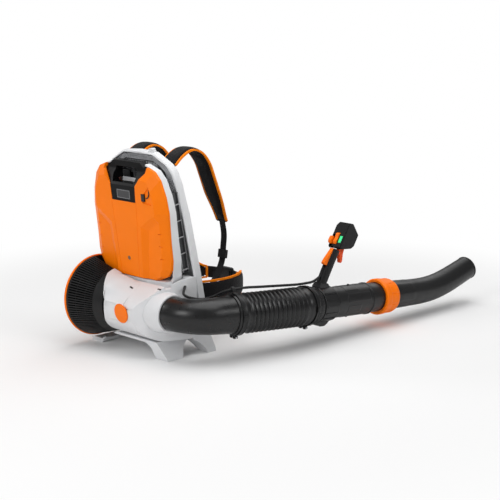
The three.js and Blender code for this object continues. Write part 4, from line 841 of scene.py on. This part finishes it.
def makeBadge():
    outline = [(0.01, -1.1), (27.4, -1.1), (27.9, -0.7), (28.4, -1.1), (29.8, -1.1), (29.8, 1.2), (0.01, 1.2)]
    place = moved(56, -91.5, 136) @ turned(8, "X")
    settle(smoothShade(turnedShell("roundBadge", softened(outline, 0.4), place, "capOrange")), "badge_disc")


def makeShelf():
    # floor, front and side of the hollow cut into the basket's top
    left, right, front = intake["left"], intake["right"], intake["shelfFront"]
    shelf, wall = intake["shelf"], intake["shelfWall"]

    def across(x, along):
        # how far the basket reaches at this distance from the fan's axis
        return math.sqrt((basketRadius(x) - 0.2) ** 2 - along * along)

    bottom, face, side = [], [], []
    for k in range(25):
        x = left + (right - left) * k / 24
        reach = across(x, shelf - fanHeight)
        bottom.append([mm(x, y, z) for y, z in ((front - wall, shelf), (reach, shelf), (reach, shelf + 3),
                                                (front - wall, shelf + 3))])
        face.append([mm(x, y, z) for y, z in ((front - wall, shelf), (front, shelf),
                                              (front, fanHeight + across(x, front)),
                                              (front - wall, fanHeight + across(x, front - wall)))])
    reach = across(left + 1, shelf - fanHeight)
    for k in range(17):
        y = front + (reach - front) * k / 16
        top = max(shelf + 0.4, fanHeight + across(left + 1, y))
        side.append([mm(x, y, z) for x, z in ((left, shelf), (left + wall, shelf), (left + wall, top), (left, top))])
    return [skinned("shelf", rings, "intakeBlack") for rings in (bottom, face, side)]


def makeIntake():
    left, right, wall, rim = intake["left"], intake["right"], intake["wall"], intake["rim"]
    first, last = left + 5, intake["plainFrom"] + 1
    rings = []
    for x, taper in ((first, 1), (last, intake["slatTaper"])):
        r, half = basketRadius(x), intake["slatWidth"] / 2 * taper
        rings.append([mm(x, y, z) for y, z in ((-half, r - 0.2), (half, r - 0.2), (half * 0.6, r - intake["slatDepth"]),
                                               (-half * 0.6, r - intake["slatDepth"]))])
    slats = repeated(skinned("intakeSlats", rings, "intakeBlack"), "intakeBlack", Count=intake["slats"],
                     Start=tuple(mm(0, 0, fanHeight)), Turn=(2 * math.pi / intake["slats"], 0, 0))
    hoops = ((left + 3, 6, 0), *((x, 1.6, 2.4) for x in intake["hoops"]),
             ((last + right) / 2 - 1, right - last + 2, 0))
    parts = [slats]
    for x, width, sunk in hoops:
        a, b = x - width / 2, min(right, x + width / 2)
        profile = [(basketRadius(end) - deep, end)
                   for end, deep in ((a, sunk), (b, sunk), (b, wall + sunk), (a, wall + sunk))]
        parts.append(turnedShell("hoop", profile, fanFrame, "intakeBlack", 120))
    for part in parts:
        low, high = (left - 20, intake["shelfFront"] - 0.02, intake["shelf"] + 0.02), (right + 30, 220, 400)
        carve(part, boxPiece("shelfRoom", low, high, Matrix(), "intakeBlack", 0), False)
    assemble("intakeBasket", parts + makeShelf(), "intake_basket")

    left -= 0.3
    outline = [(rim - 12, left - 8), (rim - 3, left - 9), (rim, left - 6), (rim, left), (rim - 12, left),
               (rim - 12, left - 8)]
    settle(smoothShade(turnedShell("intakeRim", softened(outline, 2.4), fanFrame, "capOrange", 160)), "intake_rim")
    outline = [(0.01, left - 14), (40, left - 13), (90, left - 10), (115.4, left - 5), (115.4, left), (0.01, left - 8),
               (0.01, left - 14)]
    cover = [turnedShell("intakeCover", softened(outline, 2), fanFrame, "intakeBlack", 120)]
    for r, h in intake["coverRings"]:
        outline = [(r, left - h), (r + 3, left - h), (r + 3, left - h - 1.6), (r, left - h - 1.6), (r, left - h)]
        cover.append(turnedShell("coverRing", softened(outline, 0.7), fanFrame, "intakeBlack"))
    assemble("intakeCover", cover, "intake_cover")


for side, sign in (("left", -1), ("right", 1)):
    makeRail(side, sign)
    dress(side + "_latch_lever", side + "Latch", "clampBlack", 24)
dress("contact_block", "contactBlock", "clampBlack", 34)
dress("fan_rotor", "fanWheel", "rotorBlack", 34)
dress("motor_shaft", "fanShaft", "shaftSteel", 34)
dress("motor_pod", "motorPod", "rotorBlack", 34)
makeIntake()
makeHousing()
makeInsert()
makeBadge()
print("stand, frame, intake and housing made")


# Battery.

battery = {
    # half outlines from the foot to the top: distance from the middle, height
    "seam": ((112, 7), (146, 21), (163, 44), (168, 70), (167, 124), (169, 190), (170, 214), (163, 262), (146, 310),
             (125, 334), (76, 352)),
    "face": ((100, 10.5), (114, 22), (119, 46), (121, 76), (122, 124), (123, 186), (136, 214), (134, 252), (125, 280),
             (108, 306), (62, 318)),
    "depth": 30, "hollowDepth": 9, "notchHeights": (78, 116, 154), "edgeRound": 1.1,
    "hollowRim": ((54, -2), (66, 170), (126, 206), (185, 206), (185, -2)),
    "hollowFloor": ((74, -2), (90, 156), (136, 187), (185, 187), (185, -2)),
    "groove": ((57, 246), (40, 4)), "lampHeight": 65, "lampRadius": 6.4,
    "notch": ((54.3, 239.7), (57.3, 290), (95.3, 330), (95.3, 400)),
    "port": ((86, 263), (118, 292), (125, 268), (127, 240), (88, 243)),
}


def mirrored(half):
    return [*half, *[(-w, h) for w, h in reversed(half)]]


def atDepth(outline, y, side=1):
    return [(x * side, y, z) for x, z in outline]


def makeFrontShell():
    depth = battery["depth"]
    floor = battery["hollowDepth"] - depth
    rings = [[batteryFrame @ mm(*p) for p in atDepth(mirrored(battery[half]), y)]
             for half, y in (("seam", 0), ("seam", -9), ("face", -depth))]
    shell = skinned("batteryFront", rings, "shellOrange")
    tools = []

    def cut(low, high):
        tools.append(prism("cutter", low, high, batteryFrame))

    for side in (-1, 1):
        cut(atDepth(battery["hollowRim"], -depth - 0.6, side), atDepth(battery["hollowFloor"], floor, side))
        for z in battery["notchHeights"]:
            low, high = sorted((side * 133, side * 148))
            tools.append(boxPiece("notch", (low, -40, z - 1.1), (high, floor + 3.2, z + 1.1), batteryFrame,
                                  "shellOrange", 0))
        cut(*[[(x * side - 1.3, -depth - 0.5, z), (x * side + 1.3, -depth - 0.5, z), (x * side, 1.1 - depth, z)]
              for x, z in battery["groove"]])
    handle, port = mirrored(battery["notch"]), battery["port"]
    lamp = [(x, battery["lampHeight"] + z) for x, z in circle(battery["lampRadius"], 32)]
    cut(atDepth(handle, -60), atDepth(handle, 2))
    cut(atDepth(port, -depth - 6), atDepth(port, 3.2 - depth))
    tools.append(boxPiece("keyRoom", (82.6, -60, 247.6), (97.4, 2, 270.4), batteryFrame, "shellOrange", 0))
    cut(atDepth(lamp, -40), atDepth(lamp, 2.8 - depth))
    for tool in tools:
        carve(shell, tool)
    edges = shell.modifiers.new("edges", "BEVEL")
    edges.width = battery["edgeRound"] / 1000
    edges.segments = 2
    edges.limit_method = "ANGLE"
    edges.angle_limit = math.radians(7)
    applyModifiers(shell)
    settle(evenShading(shell, 30), "battery_front_shell")


def makeLabel():
    parts = [boxPiece("plate", (-31, -28.6, 247), (31, -27.1, 275), batteryFrame, "labelGrey", 0.3)]
    for x0, x1, z0, z1 in ((-29, 29, 249, 250), (-29, 29, 272, 273), (-29, -28, 249, 273), (28, 29, 249, 273)):
        parts.append(boxPiece("edge", (x0, -29, z0), (x1, -28.4, z1), batteryFrame, "labelEdge", 0.2))
    settle(join("batteryLabel", parts), "battery_label_plate")


makeFrontShell()
makeLabel()
dress("battery_rear_shell", "batteryRear", "housingWhite", 24)
dress("battery_handle", "batteryHandle", "handleGloss", 24)
dress("cell_block", "cellBlock", "cellAluminium", 24)
dress("status_lamp", "statusLamp", "lampGrey", 34)
dress("charge_strip", "chargeStrip", "clampBlack", 34)
dress("charge_button", "chargeButton", "clampBlack", 34)
print("battery dressed")


# Air path.

duct = {
    "bend": 105, "turn": 78, "straight": 62, "droop": 0.045, "startRadius": 50.5, "endRadius": 57, "wall": 3,
    "collarEnd": 181, "clampBack": 14, "clampRadius": 60.9, "clampWidth": 17, "sides": 96,
}
tube = {
    "radius": 49.3, "bore": 46.3, "length": 392, "spigot": 282, "sleeve": (110, 264), "sides": 180,
    "panelRise": 0.7, "panelStart": 153, "panelHalf": 13.5, "clampRadius": 59.4, "clampWidth": 12, "cuffRibs": 40,
}
nut = {"start": 331, "length": 68, "radius": 59, "flutes": 10, "fluteHalf": 3.4, "fluteDepth": 1.3, "sides": 200}
nozzle = {
    "radius": 45.8, "mouthRadius": 40, "start": 296, "bendStart": 500, "bendEnd": 760, "end": 822, "rise": 19,
    "wall": 2.6, "panelRise": 0.8, "panelHalf": 13, "panelStart": 414, "panelEnd": 490, "taperFrom": 410, "sides": 160,
}
hose = {
    "start": (299.09, 155.55, 134.45), "heading": (0.2077, 0.9772, -0.045), "ribs": 13, "valley": 54.6,
    "crest": 61, "cuff": 60.6, "bore": 52, "perRib": 8, "sides": 96, "cuffLength": 40, "elbowEnd": 57,
}


def elbowPoint(distance):
    bend, turn = duct["bend"], math.radians(duct["turn"])
    length = bend * turn
    angle, past = min(distance / bend, turn), max(0, distance - length)
    sunk = distance * distance / (2 * length) if distance < length else length / 2 + past
    return mm(duct["collarEnd"] + bend * math.sin(angle) + past * math.cos(turn),
              bend * (1 - math.cos(angle)) + past * math.sin(turn), fanHeight - duct["droop"] * sunk)


def makeClamp(name, node, place, inner, width):
    # a flat band with rolled edges, its lugs and bolt
    outer, half = inner + 3.4, width / 2
    band = [(inner, -half), (outer, -half), (outer, 1.6 - half), (outer - 1, 2.2 - half), (outer - 1, half - 2.2),
            (outer, half - 1.6), (outer, half), (inner, half), (inner, -half)]
    parts = [turnedShell("band", softened(band, 0.5, 2), place, "clampBlack")]
    for low, high in (((-13, -6.5, -outer - 8), (-4.2, 6.5, 1 - outer)),
                      ((4.2, -6.5, -outer - 8), (13, 6.5, 1 - outer)),
                      ((-11, -4.5, -outer - 2.4), (11, 4.5, 1.2 - outer)),
                      ((outer - 1, -half - 1, -9), (outer + 3, half + 1, 9))):
        parts.append(boxPiece("lug", low, high, place, "clampBlack", 1.1))
    bolt = [(0.01, -31), (2.6, -31), (2.6, -2), (4.4, -2), (4.4, 1.4), (0.01, 1.4)]
    parts.append(turnedShell("bolt", softened(bolt, 0.4), place @ moved(-16, 0, -outer - 4.4) @ turned(90, "Z"),
                             "screwSteel", 24))
    assemble(name, parts, node)


def makeElbow():
    length = duct["bend"] * math.radians(duct["turn"]) + duct["straight"] + 12
    points = [mm(158.3, 0, fanHeight)] + [elbowPoint(length * k / 64) for k in range(65)]
    outside, inside = [], []
    for k, station in enumerate(stationsOn(points)):
        share = clamped((k / (len(points) - 1) - 0.12) / 0.75) ** 1.3
        radius = duct["startRadius"] + (duct["endRadius"] - duct["startRadius"]) * share
        outside.append(roundRing(station, radius, duct["sides"]))
        inside.append(roundRing(station, radius - duct["wall"], duct["sides"]))
    elbow = skinned("outletElbow", outside + inside[::-1], "ductBlack", closedRow=True)
    settle(smoothShade(elbow, 40), "outlet_elbow")
    end = points[-1]
    heading = (end - elbowPoint(length - 10)).normalized()
    side = heading.cross(upwards).normalized()
    place = basis(end - heading * duct["clampBack"] / 1000, side, heading, side.cross(heading))
    makeClamp("elbowClamp", "elbow_clamp", place, duct["clampRadius"], duct["clampWidth"])


def makeTube():
    r, bore, step, end = tube["radius"], tube["bore"], tube["spigot"], tube["length"]
    start, stop = tube["sleeve"]
    sector = math.pi / 4

    def shape(angle, radius, y):
        # eight raised panels with narrow flanks; every other one is short
        if abs(radius - r) > 0.01 or not start + 8 < y < stop - 2:
            return radius
        off = abs(angle % sector - sector / 2) * r
        far = stop - (6 if int(angle / sector) % 2 else 50)
        inside = min(tube["panelHalf"] - off, y - tube["panelStart"], far - y)
        return radius + tube["panelRise"] * clamped(inside / 0.8 + 0.5)

    rows = [(bore, 41), (r - 0.8, 41), (r, 41.8), *((r, y) for y in range(46, 112, 12)), (r, 108), (r, 109.4),
            (r - 0.9, start), (r - 0.9, start + 1.2), (r, start + 1.8), *((r, y) for y in range(115, stop + 1)),
            (r, step - 12), (r + 2.4, step - 9), (r + 2.4, step - 3), (r - 1.7, step), (r - 1.7, end - 1.2),
            (r - 2.3, end), (bore, end)]
    parts = [turnedShell("handleTube", rows, tubeFrame, "tubeBlack", tube["sides"], shape)]
    stud = softened([(0.01, 0), (4, 0), (4, 5.6), (2.4, 6.2), (0.01, 6.2)], 0.5)
    for turn in (0, 180):
        place = tubeFrame @ turned(turn, "Y") @ moved(0, 196, r - 2) @ turned(90, "X")
        parts.append(turnedShell("stud", stud, place, "tubeBlack", 24))
    assemble("handleTube", parts, "handle_tube", 22)

    outline = [(bore, -18), (52, -18), (52, 16), (56, 19), (56, 36), (53, 40.6), (bore, 40.6), (bore, -18)]
    parts = [turnedShell("swivelCuff", softened(outline, 1.2), tubeFrame, "tubeBlack", 120)]
    for k in range(tube["cuffRibs"]):
        place = tubeFrame @ turned(360 * k / tube["cuffRibs"], "Y")
        parts.append(boxPiece("rib", (-1.2, 21, 55), (1.2, 34, 56.9), place, "tubeBlack", 0.3))
    assemble("swivelCuff", parts, "swivel_cuff")


def makeNut():
    start, radius, bore = nut["start"], nut["radius"], tube["bore"] + 0.1
    end, step = start + nut["length"], tube["length"] + 0.3
    sector = 2 * math.pi / nut["flutes"]

    def shape(angle, r, y):
        if r < radius - 2.5 or y < start + 26 or y > end - 2:
            return r
        off = abs((angle + sector / 2) % sector - sector / 2) * radius
        return r - nut["fluteDepth"] * clamped((nut["fluteHalf"] - off) / 0.9) * min(1, (y - start - 26) / 2)

    rows = [(48.5, start), (radius - 4, start), (radius - 1.2, start + 2.6), (radius, start + 5), (radius, start + 20),
            (radius - 0.4, start + 22.4), (radius - 2, start + 24.6), (radius - 2, start + 27),
            *((radius - 2, start + 27.5 + k * 2) for k in range(15)), (radius - 2.4, end - 10), (radius - 5, end - 3),
            (radius - 8, end), (bore, end), (bore, step), (48.5, step)]
    settle(smoothShade(turnedShell("unionNut", rows, tubeFrame, "capOrange", nut["sides"], shape), 26), "union_nut")


def makeNozzle():
    start, end, steps, sector = nozzle["bendStart"], nozzle["end"], 36, math.pi / 4
    points = [Vector((0, nozzle["start"] + (start - nozzle["start"]) * k / 34, 0)) for k in range(35)]
    length = (end - start) / steps
    for _ in range(steps):
        climb = math.radians(nozzle["rise"]) * smoothstep(points[-1].y, start, nozzle["bendEnd"])
        points.append(points[-1] + Vector((0, length, length * math.tan(climb))))
    outside, inside = [], []
    for point, right, up in stationsOn(points, upwards):
        share = clamped((point.y - nozzle["taperFrom"]) / (end - nozzle["taperFrom"]))
        radius = nozzle["radius"] + (nozzle["mouthRadius"] - nozzle["radius"]) * share
        raised = nozzle["panelRise"] * clamped((point.y - nozzle["panelStart"]) / 5) \
            * clamped((nozzle["panelEnd"] - point.y) / 5)
        ring, bore = [], []
        for k, (a, b) in enumerate(circle(1, nozzle["sides"])):
            off = abs((2 * math.pi * k / nozzle["sides"] + sector / 2) % sector - sector / 2) * radius
            rise = raised * clamped((nozzle["panelHalf"] - off) / 0.9)
            way = right * a + up * b
            ring.append(tubeFrame @ ((point + way * (radius + rise)) / 1000))
            bore.append(tubeFrame @ ((point + way * (radius - nozzle["wall"])) / 1000))
        outside.append(ring)
        inside.append(bore)
    body = skinned("curvedNozzle", outside + inside[::-1], "tubeBlack", closedRow=True)
    tip = points[-1]
    place = tubeFrame @ moved(0, tip.y - 2, tip.z - 0.8) @ turned(nozzle["rise"], "X")
    outline = [(38.4, -4), (41.2, -4), (41.2, 0.6), (38.4, 0.6), (38.4, -4)]
    lip = turnedShell("lip", softened(outline, 0.8), place, "tubeBlack")
    assemble("curvedNozzle", [body, lip], "nozzle", 24)


def makeBellows():
    # two halves, split at the middle of the bellows: the first from the frame's end, the second up to the tube
    start, heading = mm(*hose["start"]), Vector(hose["heading"]).normalized()
    begin, end = start + heading * 0.002, tubeFrame @ mm(0, 14 - hose["cuffLength"], 0)
    reach = (end - begin).length * 0.36
    b, c = begin + heading * reach, end - tubeFrame.col[1].to_3d().normalized() * reach
    dense = [(1 - t) ** 3 * begin + 3 * (1 - t) ** 2 * t * b + 3 * (1 - t) * t * t * c + t ** 3 * end
             for t in (k / 400 for k in range(401))]
    lengths = runningLengths(dense)
    valley, crest, cuff, bore = hose["valley"], hose["crest"], hose["cuff"], hose["bore"]

    def at(share):
        return pointAlong(dense, lengths, share * lengths[-1])

    def near(distance):
        return start + heading * distance / 1000

    def onTube(y):
        return tubeFrame @ mm(0, y, 0)

    outer = [(near(-30), cuff - 0.8), (near(-29), cuff), (near(-4), cuff), (near(1), cuff - 1.6),
             (at(0.03), valley + 1)]
    count = hose["ribs"] * hose["perRib"]
    for k in range(count + 1):
        wave = 0.5 - 0.5 * math.cos(2 * math.pi * k / hose["perRib"])
        outer.append((at(0.06 + 0.91 * k / count), valley + (crest - valley) * wave ** 0.8))
    outer += [(onTube(-22), cuff - 3), (onTube(-19), cuff - 1.5), (onTube(13), cuff - 1.5), (onTube(14), cuff - 2.3)]
    inner = [(onTube(14), 52.8), (onTube(-22.5), 53.2), (onTube(-24), bore),
             *((at(share), bore) for share in (0.9, 0.75, 0.6, 0.5, 0.4, 0.25, 0.1)),
             (near(1.6), bore), (near(1), hose["elbowEnd"] + 0.6), (near(-30), hose["elbowEnd"] + 0.6)]

    def shell(name, *rows):
        rings = []
        for row in rows:
            stations = stationsOn([point for point, _ in row], upwards)
            rings += [roundRing(station, radius, hose["sides"]) for station, (_, radius) in zip(stations, row)]
        return smoothShade(skinned(name, rings, "hoseBlack", closedRow=True), 50)

    half = len(outer) // 2
    middle = outer[half][0]
    first = shell("hoseFirstHalf", outer[:half + 1], [(middle, bore)] + inner[7:])
    second = shell("hoseSecondHalf", outer[half:], inner[:7] + [(middle, bore)])
    for piece in (first, second):
        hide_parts("bellows")
    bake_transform(first)
    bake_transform(second)


makeElbow()
makeClamp("hoseClamp", "hose_clamp", tubeFrame @ moved(0, 1, 0), tube["clampRadius"], tube["clampWidth"])
makeTube()
makeNut()
makeNozzle()
makeBellows()
print("air path and hose made")


# Control handle and cable.

cable = {
    "radius": 4, "sides": 16,
    "points": [(160, 74, 217), (184, 46, 211), (198, 30, 197), (209, 38, 189), (230, 78, 180), (249, 104, 188),
               (270, 116, 201), (283, 125, 207), (293, 137, 210), (306, 178, 211), (318, 222, 208), (330, 300, 201),
               (339, 368, 195), (342.5, 402, 194), (343.3, 428, 194), (343.5, 445, 198), (343.7, 457, 202.5),
               (343.8, 463, 206)],
    # stretches of the route, counted in points: along the elbow, over the hose, into the grip
    "onElbow": (0.1, 8), "overHose": (8.08, 10.6, 12), "intoGrip": (12.02, 17), "bendsUntil": 15,
}


def cablePoint(share):
    index = min(len(cable["points"]) - 2, int(share))
    return curveAt(extended(cable["points"])[index:index + 4], share - index) / 1000


def cablePiece(name, first, last, steps):
    stations = stationsOn([cablePoint(first + (last - first) * k / steps) for k in range(steps + 1)])
    rings = [roundRing(station, cable["radius"], cable["sides"]) for station in stations]
    return smoothShade(skinned(name, rings, "cableBlack"), 50)


def makeCable():
    settle(cablePiece("cableOnElbow", *cable["onElbow"], 48), "cable_on_elbow")
    start, middle, end = cable["overHose"]
    first = cablePiece("cableHoseStart", start, middle, 20)
    second = cablePiece("cableHoseEnd", middle, end, 14)
    for piece in (first, second):
        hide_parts("cable_over_hose")
    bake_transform(first)
    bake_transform(second)
    grip = cablePiece("cableIntoGrip", *cable["intoGrip"], 40)
    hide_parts("cable_to_handle")
    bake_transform(grip)


dress("handle_bracket", "handleBracket", "tubeBlack")
dress("clamp_knob", "clampKnob", "clampBlack")
dress("left_grip_half", "leftGripHalf", "gripBlack")
dress("right_grip_half", "rightGripHalf", "gripBlack")
dress("control_head", "controlHead", "gripBlack")
dress("display_window", "displayWindow", "greenDisplay")
dress("trigger", "speedTrigger", "triggerRed")
dress("lock_lever", "lockLever", "keyOrange")
dress("cruise_lever", "cruiseLever", "keyOrange")
dress("push_button", "pushButton", "keyOrange")
dress("cable_clip", "cableClip", "clampBlack")
makeCable()
print("control handle and cable made")


# Harness.

strap = {
    "x": 90, "width": 68, "endWidth": 46, "thickness": 19, "pressure": 3, "swell": 3.5, "fill": 0.7,
    "route": [(70, 566), (100, 590), (138, 606), (174, 597), (206, 564), (226, 520), (248, 466), (270, 418),
              (289, 372)],
}
webbing = {
    "width": 25, "thickness": 2.4,
    "route": [(90, 289.3, 371.2), (92, 295, 330), (95, 289, 290), (97, 281, 246), (106, 250, 208), (117, 212, 172),
              (123, 172, 138), (125, 152, 121), (126, 141.4, 112)],
}
hip = {
    "height": 74, "thickness": 13, "middle": 171, "pressure": 3, "swell": 3, "fill": 0.6,
    "plan": [(122, 137.3), (135, 146), (147, 168), (156, 205), (157, 250), (147, 295), (124, 336), (94, 362),
             (72, 374)],
}
belt = {
    "width": 38, "thickness": 2.4,
    "route": [(-72, 376.4, 171), (-46, 386, 171), (-20, 391, 171), (0, 392, 171), (20, 391, 171), (46, 386, 171),
              (72, 376.4, 171)],
}
backPad = {"voxel": 0.005, "pressure": 3, "swell": 3, "fill": 0.6}
cloth = {"voxel": 0.0045, "frames": 18, "quality": 4, "stiffness": 12, "bending": 0.4}
# sections of a strap, as shares of its half width and half thickness
plainTape = ((-1, -0.4), (-0.96, -1), (0, -1), (0.96, -1), (1, -0.4), (1, 0.4), (0.96, 1), (0, 1), (-0.96, 1),
             (-1, 0.4))
fineTape = ((-1, -0.4), (-0.96, -1), (-0.5, -1), (0, -1), (0.5, -1), (0.96, -1), (1, -0.4), (1, 0.4), (0.96, 1),
            (0.5, 1), (0, 1), (-0.5, 1), (-0.96, 1), (-1, 0.4))


def padSection(point, right, up, halfWidth, halfThick):
    # a pillow section: thin at its two edges, full in the middle
    ring = []
    for a, b in circle(1, 40):
        u = math.copysign(abs(a) ** 0.75, a)
        full = 0.84 * max(0, 1 - abs(u) ** 2.6) ** 0.5 + (0.16 if abs(u) < 0.999 else 0)
        ring.append(point + right * (halfWidth * u) + up * (halfThick * math.copysign(full, b)))
    return ring


def puff(piece, pressure, cap, voxel=cloth["voxel"]):
    # swells a pad with cloth pressure; no point moves further than the cap
    remesh = piece.modifiers.new("remesh", "REMESH")
    remesh.mode = "VOXEL"
    remesh.voxel_size = voxel
    applyModifiers(piece)
    before = np.zeros(len(piece.data.vertices) * 3, np.float32)
    piece.data.vertices.foreach_get("co", before)
    swelling = piece.modifiers.new("cloth", "CLOTH")
    settings = swelling.settings
    settings.use_pressure = True
    settings.uniform_pressure_force = pressure
    settings.quality = cloth["quality"]
    settings.tension_stiffness = settings.compression_stiffness = cloth["stiffness"]
    settings.bending_stiffness = cloth["bending"]
    settings.effector_weights.gravity = 0
    swelling.point_cache.frame_start, swelling.point_cache.frame_end = 1, cloth["frames"]
    for number in range(1, cloth["frames"] + 1):
        scene.frame_set(number)
    applyModifiers(piece)
    scene.frame_set(1)
    after = np.zeros_like(before)
    piece.data.vertices.foreach_get("co", after)
    move = (after - before).reshape(-1, 3)
    factor = np.minimum(1, (cap / 1000) / np.maximum(np.linalg.norm(move, axis=1), 1e-9))
    piece.data.vertices.foreach_set("co", (before.reshape(-1, 3) + move * factor[:, None]).ravel())
    piece.data.update()
    fine = piece.modifiers.new("fine", "SUBSURF")
    fine.levels = fine.render_levels = 1
    return smoothShade(applyModifiers(piece), 180)


def facing(hint):
    # directions of a tape whose face looks towards the hint
    def directions(along):
        across = along.cross(hint).normalized()
        return across, across.cross(along).normalized()
    return directions


def sidelong(along):
    outward = sideways.cross(along).normalized()
    return along.cross(outward).normalized(), outward


def upright(along):
    return upwards, along.cross(upwards).normalized()


def makeTape(name, points, width, thickness, directions, finish="bindingOrange", section=plainTape):
    # a flat strap with soft edges and cloth UV in metres
    w, t = width / 2000, thickness / 2000
    rings, uv = [], []
    for (point, along), travelled in zip(headings(points), runningLengths(points)):
        across, outward = directions(along)
        rings.append([point + across * (w * a) + outward * (t * b) for a, b in section])
        uv += [(w * a, travelled) for a, b in section]
    return smoothShade(skinned(name, rings, finish, uv=uv), 50)


def bound(name, tapes):
    binding = join(name, tapes)
    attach(binding, "frame")


def between(a, b):
    return [a.lerp(b, k / 8) for k in range(9)]


def makePad(name, node, rings, look):
    pad = puff(skinned(name, rings, "padMesh"), look["pressure"], look["swell"])
    settle(pad, node)


def makeShoulderPad(side, sign):
    path = headings(smoothPath([mm(strap["x"] * sign, y, z) for y, z in strap["route"]], 61))
    rings, left, right = [], [], []
    for index, (point, along) in enumerate(path):
        share = index / (len(path) - 1)
        width = strap["width"] - (strap["width"] - strap["endWidth"]) * smoothstep(share, 0.72, 1)
        thick = strap["thickness"] * (0.72 + 0.28 * math.sin(math.pi * min(1, share * 1.06)))
        ends = min(1, 0.35 + 4 * min(share, 1 - share) ** 0.7)
        half = width / 2000 - 0.0022
        outward = sideways.cross(along).normalized()
        rings.append(padSection(point, sideways, outward, half, (thick / 2000 - 0.0012) * ends))
        left.append(point - sideways * half)
        right.append(point + sideways * half)
    makePad(side + "ShoulderPad", side + "_shoulder_pad", rings, strap)
    tapes = [makeTape("tape", rim, 5.6, 7.4, facing(sideways), section=fineTape) for rim in (right, left)]
    tapes += [makeTape("tape", between(left[end], right[end]), 6, 5.2, facing(path[end][1]), "strapWeave", fineTape)
              for end in (0, -1)]
    bound(side + "PadBinding", tapes)


def makeHipPad(side, sign):
    path = headings(smoothPath([mm(x * sign, y, hip["middle"]) for x, y in hip["plan"]], 57))
    rings, low, high = [], [], []
    for index, (point, along) in enumerate(path):
        share = index / (len(path) - 1)
        taper = 1 - 0.45 * smoothstep(share, 0.8, 1) - 0.2 * smoothstep(1 - share, 0.9, 1)
        ends = min(1, 0.35 + 4 * min(share, 1 - share) ** 0.7)
        half = hip["height"] / 2000 * taper - 0.002
        thick = hip["thickness"] / 2000 * (0.55 + 0.45 * taper) - 0.0012
        rings.append(padSection(point, *upright(along), half, thick * ends))
        low.append(point - upwards * half)
        high.append(point + upwards * half)
    makePad(side + "HipPad", side + "_hip_pad", rings, hip)
    tapes = [makeTape("tape", rim, 6, 6.4, upright) for rim in (high, low)]
    tapes += [makeTape("tape", between(low[end], high[end]), 6, 5.4, sidelong) for end in (0, -1)]
    bound(side + "HipBinding", tapes)


def makeBackPad():
    pad = merged(addObject("backPad", nodes["back_pad"].data.copy(), "padMesh"))
    puff(pad, backPad["pressure"], backPad["swell"], backPad["voxel"])
    settle(pad, "back_pad")


for side, sign in (("left", -1), ("right", 1)):
    makeShoulderPad(side, sign)
    path = smoothPath([mm(x * sign, y, z) for x, y, z in webbing["route"]], 60)
    tape = makeTape(side + "Webbing", path, webbing["width"], webbing["thickness"], sidelong, "strapWeave")
    settle(tape, side + "_webbing")
    dress(side + "_adjuster", side + "Adjuster", "clampBlack")
    makeHipPad(side, sign)
path = smoothPath([mm(*p) for p in belt["route"]], 31)
tape = makeTape("beltWebbing", path, belt["width"], belt["thickness"], upright, "strapWeave")
settle(tape, "belt_webbing")
dress("belt_buckle", "beltBuckle", "clampBlack")
makeBackPad()
print("harness made")

print("done")
